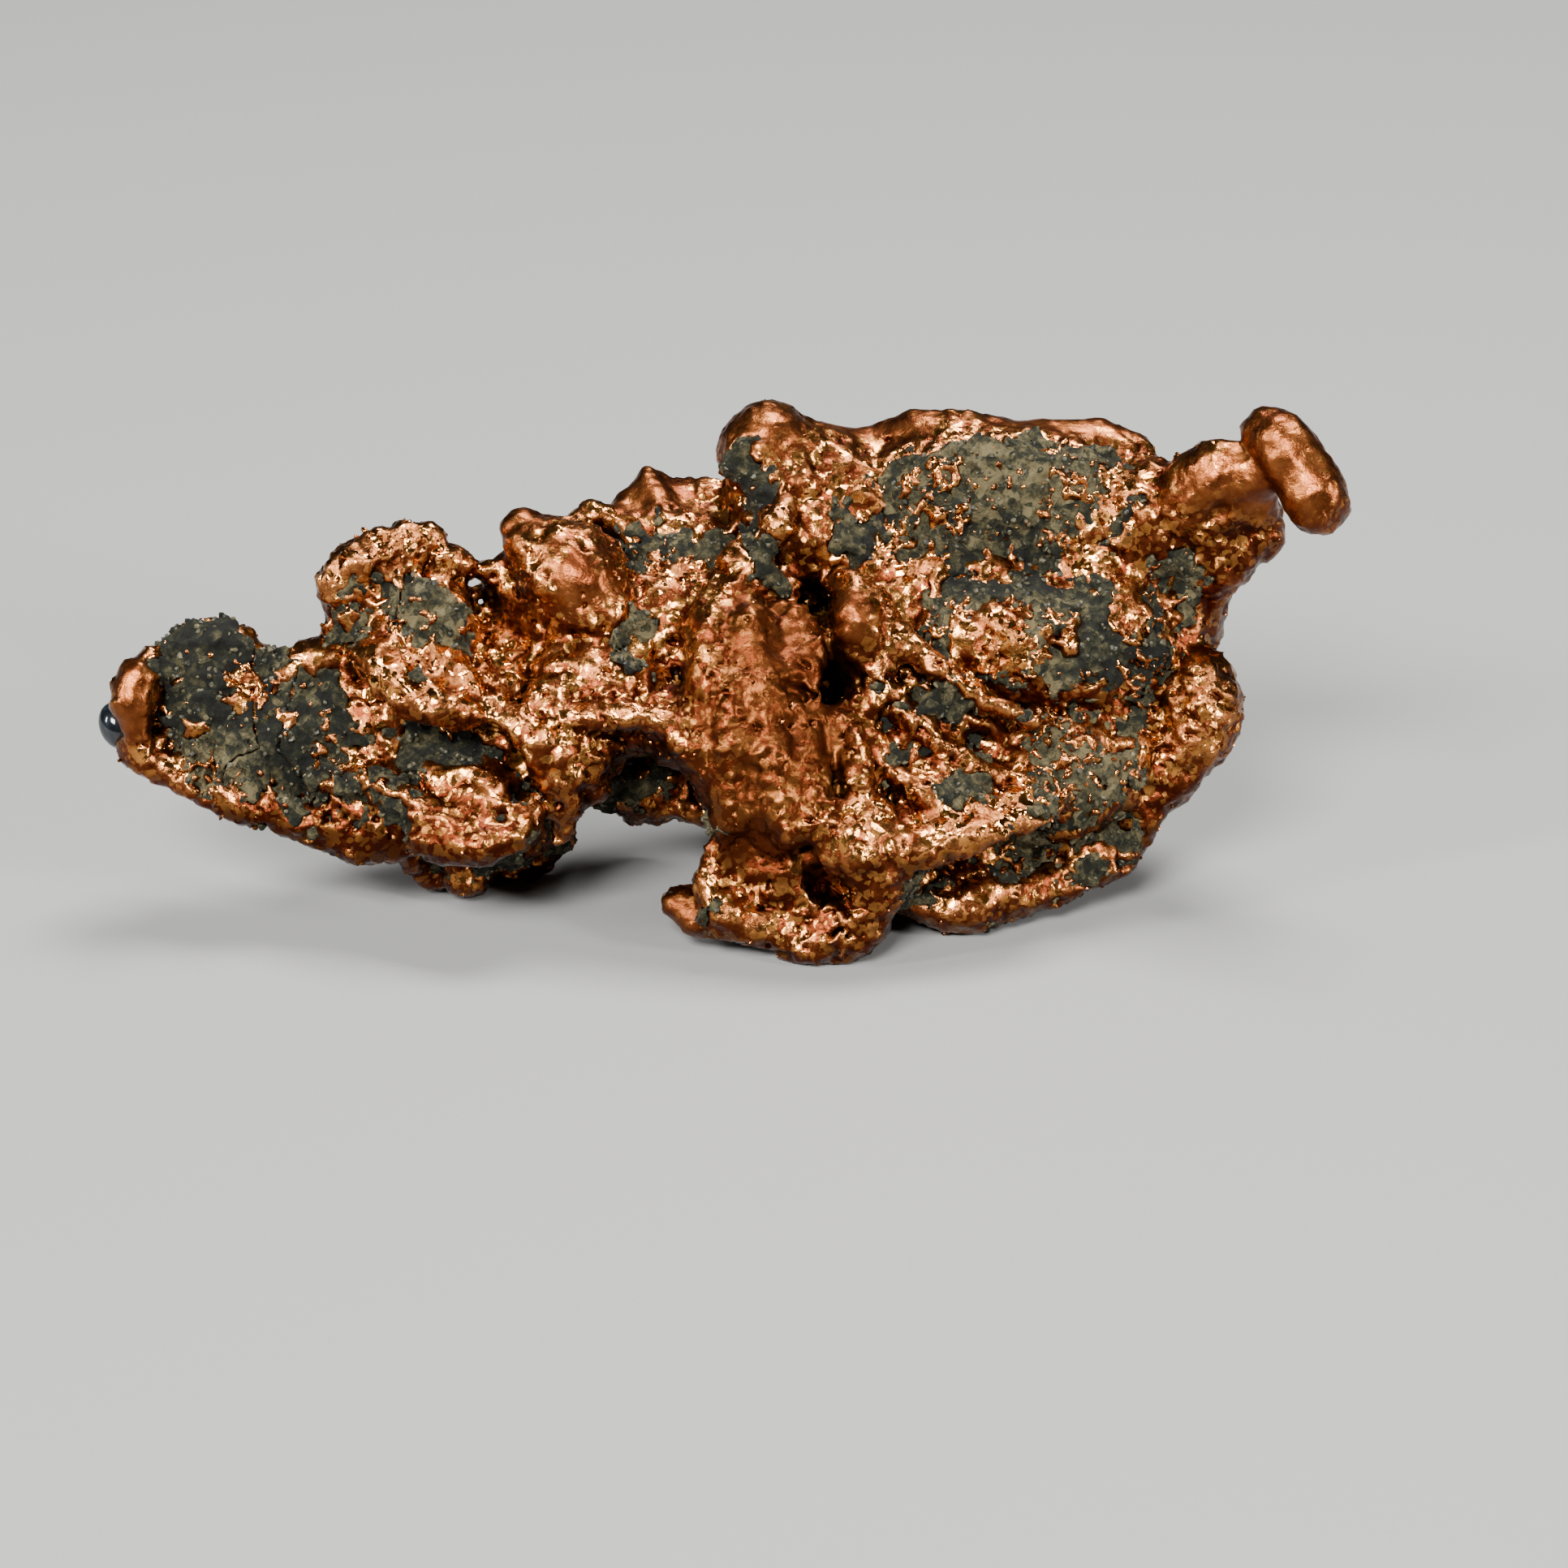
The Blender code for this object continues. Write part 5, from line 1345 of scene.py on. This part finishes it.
grainNodes = grainTree()
allRocks = [*rocks.values(), scraps]
copperGround = throwawayCopy("copperGround", [copper], barenessOf)
rockGround = throwawayCopy("rockGround", allRocks, lambda piece: np.ones(len(piece.data.vertices)))
fleckGround = throwawayCopy("fleckGround", allRocks, lambda piece: readAttribute(piece, "fleckShare"))
crystals = strewGrains("copperCrystals", copperGround, copperMaterial)
specks = strewGrains("copperSpecks", fleckGround, copperMaterial)
rockCrystals = strewGrains("rockCrystals", rockGround, crystalMaterial)
for ground in (copperGround, rockGround, fleckGround):
    bpy.data.objects.remove(ground, do_unlink=True)
print("grains", {piece.name: len(piece.data.polygons) for piece in (crystals, specks, rockCrystals)})

copper.data.materials.append(copperMaterial)
bead.data.materials.append(beadMaterial)
for rock in allRocks:
    rock.data.materials.append(rockMaterial)
replacing = {"copper_nugget": (copper, "native_copper"), "dark_bead": (bead, "dark_bead"),
             **{name: (rock, "host_rock") for name, rock in rocks.items()}}
for node, (piece, slot) in replacing.items():
    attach(piece, "root")
    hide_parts(node)
for piece, slot in ((scraps, "host_rock"), (crystals, "native_copper"), (specks, "native_copper"),
                    (rockCrystals, "host_rock")):
    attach(piece, "root")
print("materials given")


# ---- camera, floor and light
studio = {
    "cameraDistance": 125.0,      # mm from the middle of the face plane, square on to it
    "lens": 93.2,
    "sensor": 36,
    "nearest": 0.005,
    "floorSize": 3.0,
    "floorColour": "#7B7B79",
    "floorRoughness": 0.6,
    "target": (0.0, 0.0, 0.006),
    "lights": {                   # place, size and power
        "frontSoftbox": ((-0.10, -0.26, 0.26), (0.15, 0.11), 4.3),
        "topSoftbox": ((0.05, 0.1, 0.3), (0.14, 0.1), 2.4),
        "leftStrip": ((-0.3, -0.12, 0.16), (0.03, 0.1), 1.3),
        "rightStrip": ((0.28, -0.16, 0.14), (0.03, 0.1), 1.6),
    },
    "skyColour": "#DAD7D2",
    "skyStrength": 0.04,
}


def addCamera():
    camera = bpy.data.cameras.new("camera")
    camera.lens = studio["lens"]
    camera.sensor_width = studio["sensor"]
    camera.clip_start = studio["nearest"]
    item = bpy.data.objects.new("camera", camera)
    away = Matrix.Translation((0, 0, studio["cameraDistance"]))
    item.matrix_world = toWorld @ away @ Matrix.Scale(perMetre, 4)
    bpy.context.collection.objects.link(item)
    bpy.context.scene.camera = item


def addFloor():
    size = studio["floorSize"] / 2
    corners = [(-size, -size, 0), (size, -size, 0), (size, size, 0), (-size, size, 0)]
    mesh = bpy.data.meshes.new("floor")
    mesh.from_pydata(corners, [], [(0, 1, 2, 3)])
    floor = bpy.data.objects.new("floor", mesh)
    material, tree, shader = newMaterial("paleFloor")
    fillIn(tree, shader, {"Base Color": linear(studio["floorColour"]), "Roughness": studio["floorRoughness"]})
    mesh.materials.append(material)
    bpy.context.collection.objects.link(floor)


def addLights():
    for name, (place, size, power) in studio["lights"].items():
        light = bpy.data.lights.new(name, "AREA")
        light.shape = "RECTANGLE"
        light.size, light.size_y = size
        light.energy = power
        item = bpy.data.objects.new(name, light)
        aim = Vector(studio["target"]) - Vector(place)
        item.matrix_world = Matrix.Translation(place) @ aim.to_track_quat("-Z", "Y").to_matrix().to_4x4()
        bpy.context.collection.objects.link(item)


def addSky():
    world = bpy.data.worlds.new("studio")
    world.use_nodes = True
    background = world.node_tree.nodes["Background"]
    fillIn(world.node_tree, background, {
        "Color": linear(studio["skyColour"]), "Strength": studio["skyStrength"]})
    bpy.context.scene.world = world


addCamera()
addFloor()
addLights()
addSky()
print("studio set")
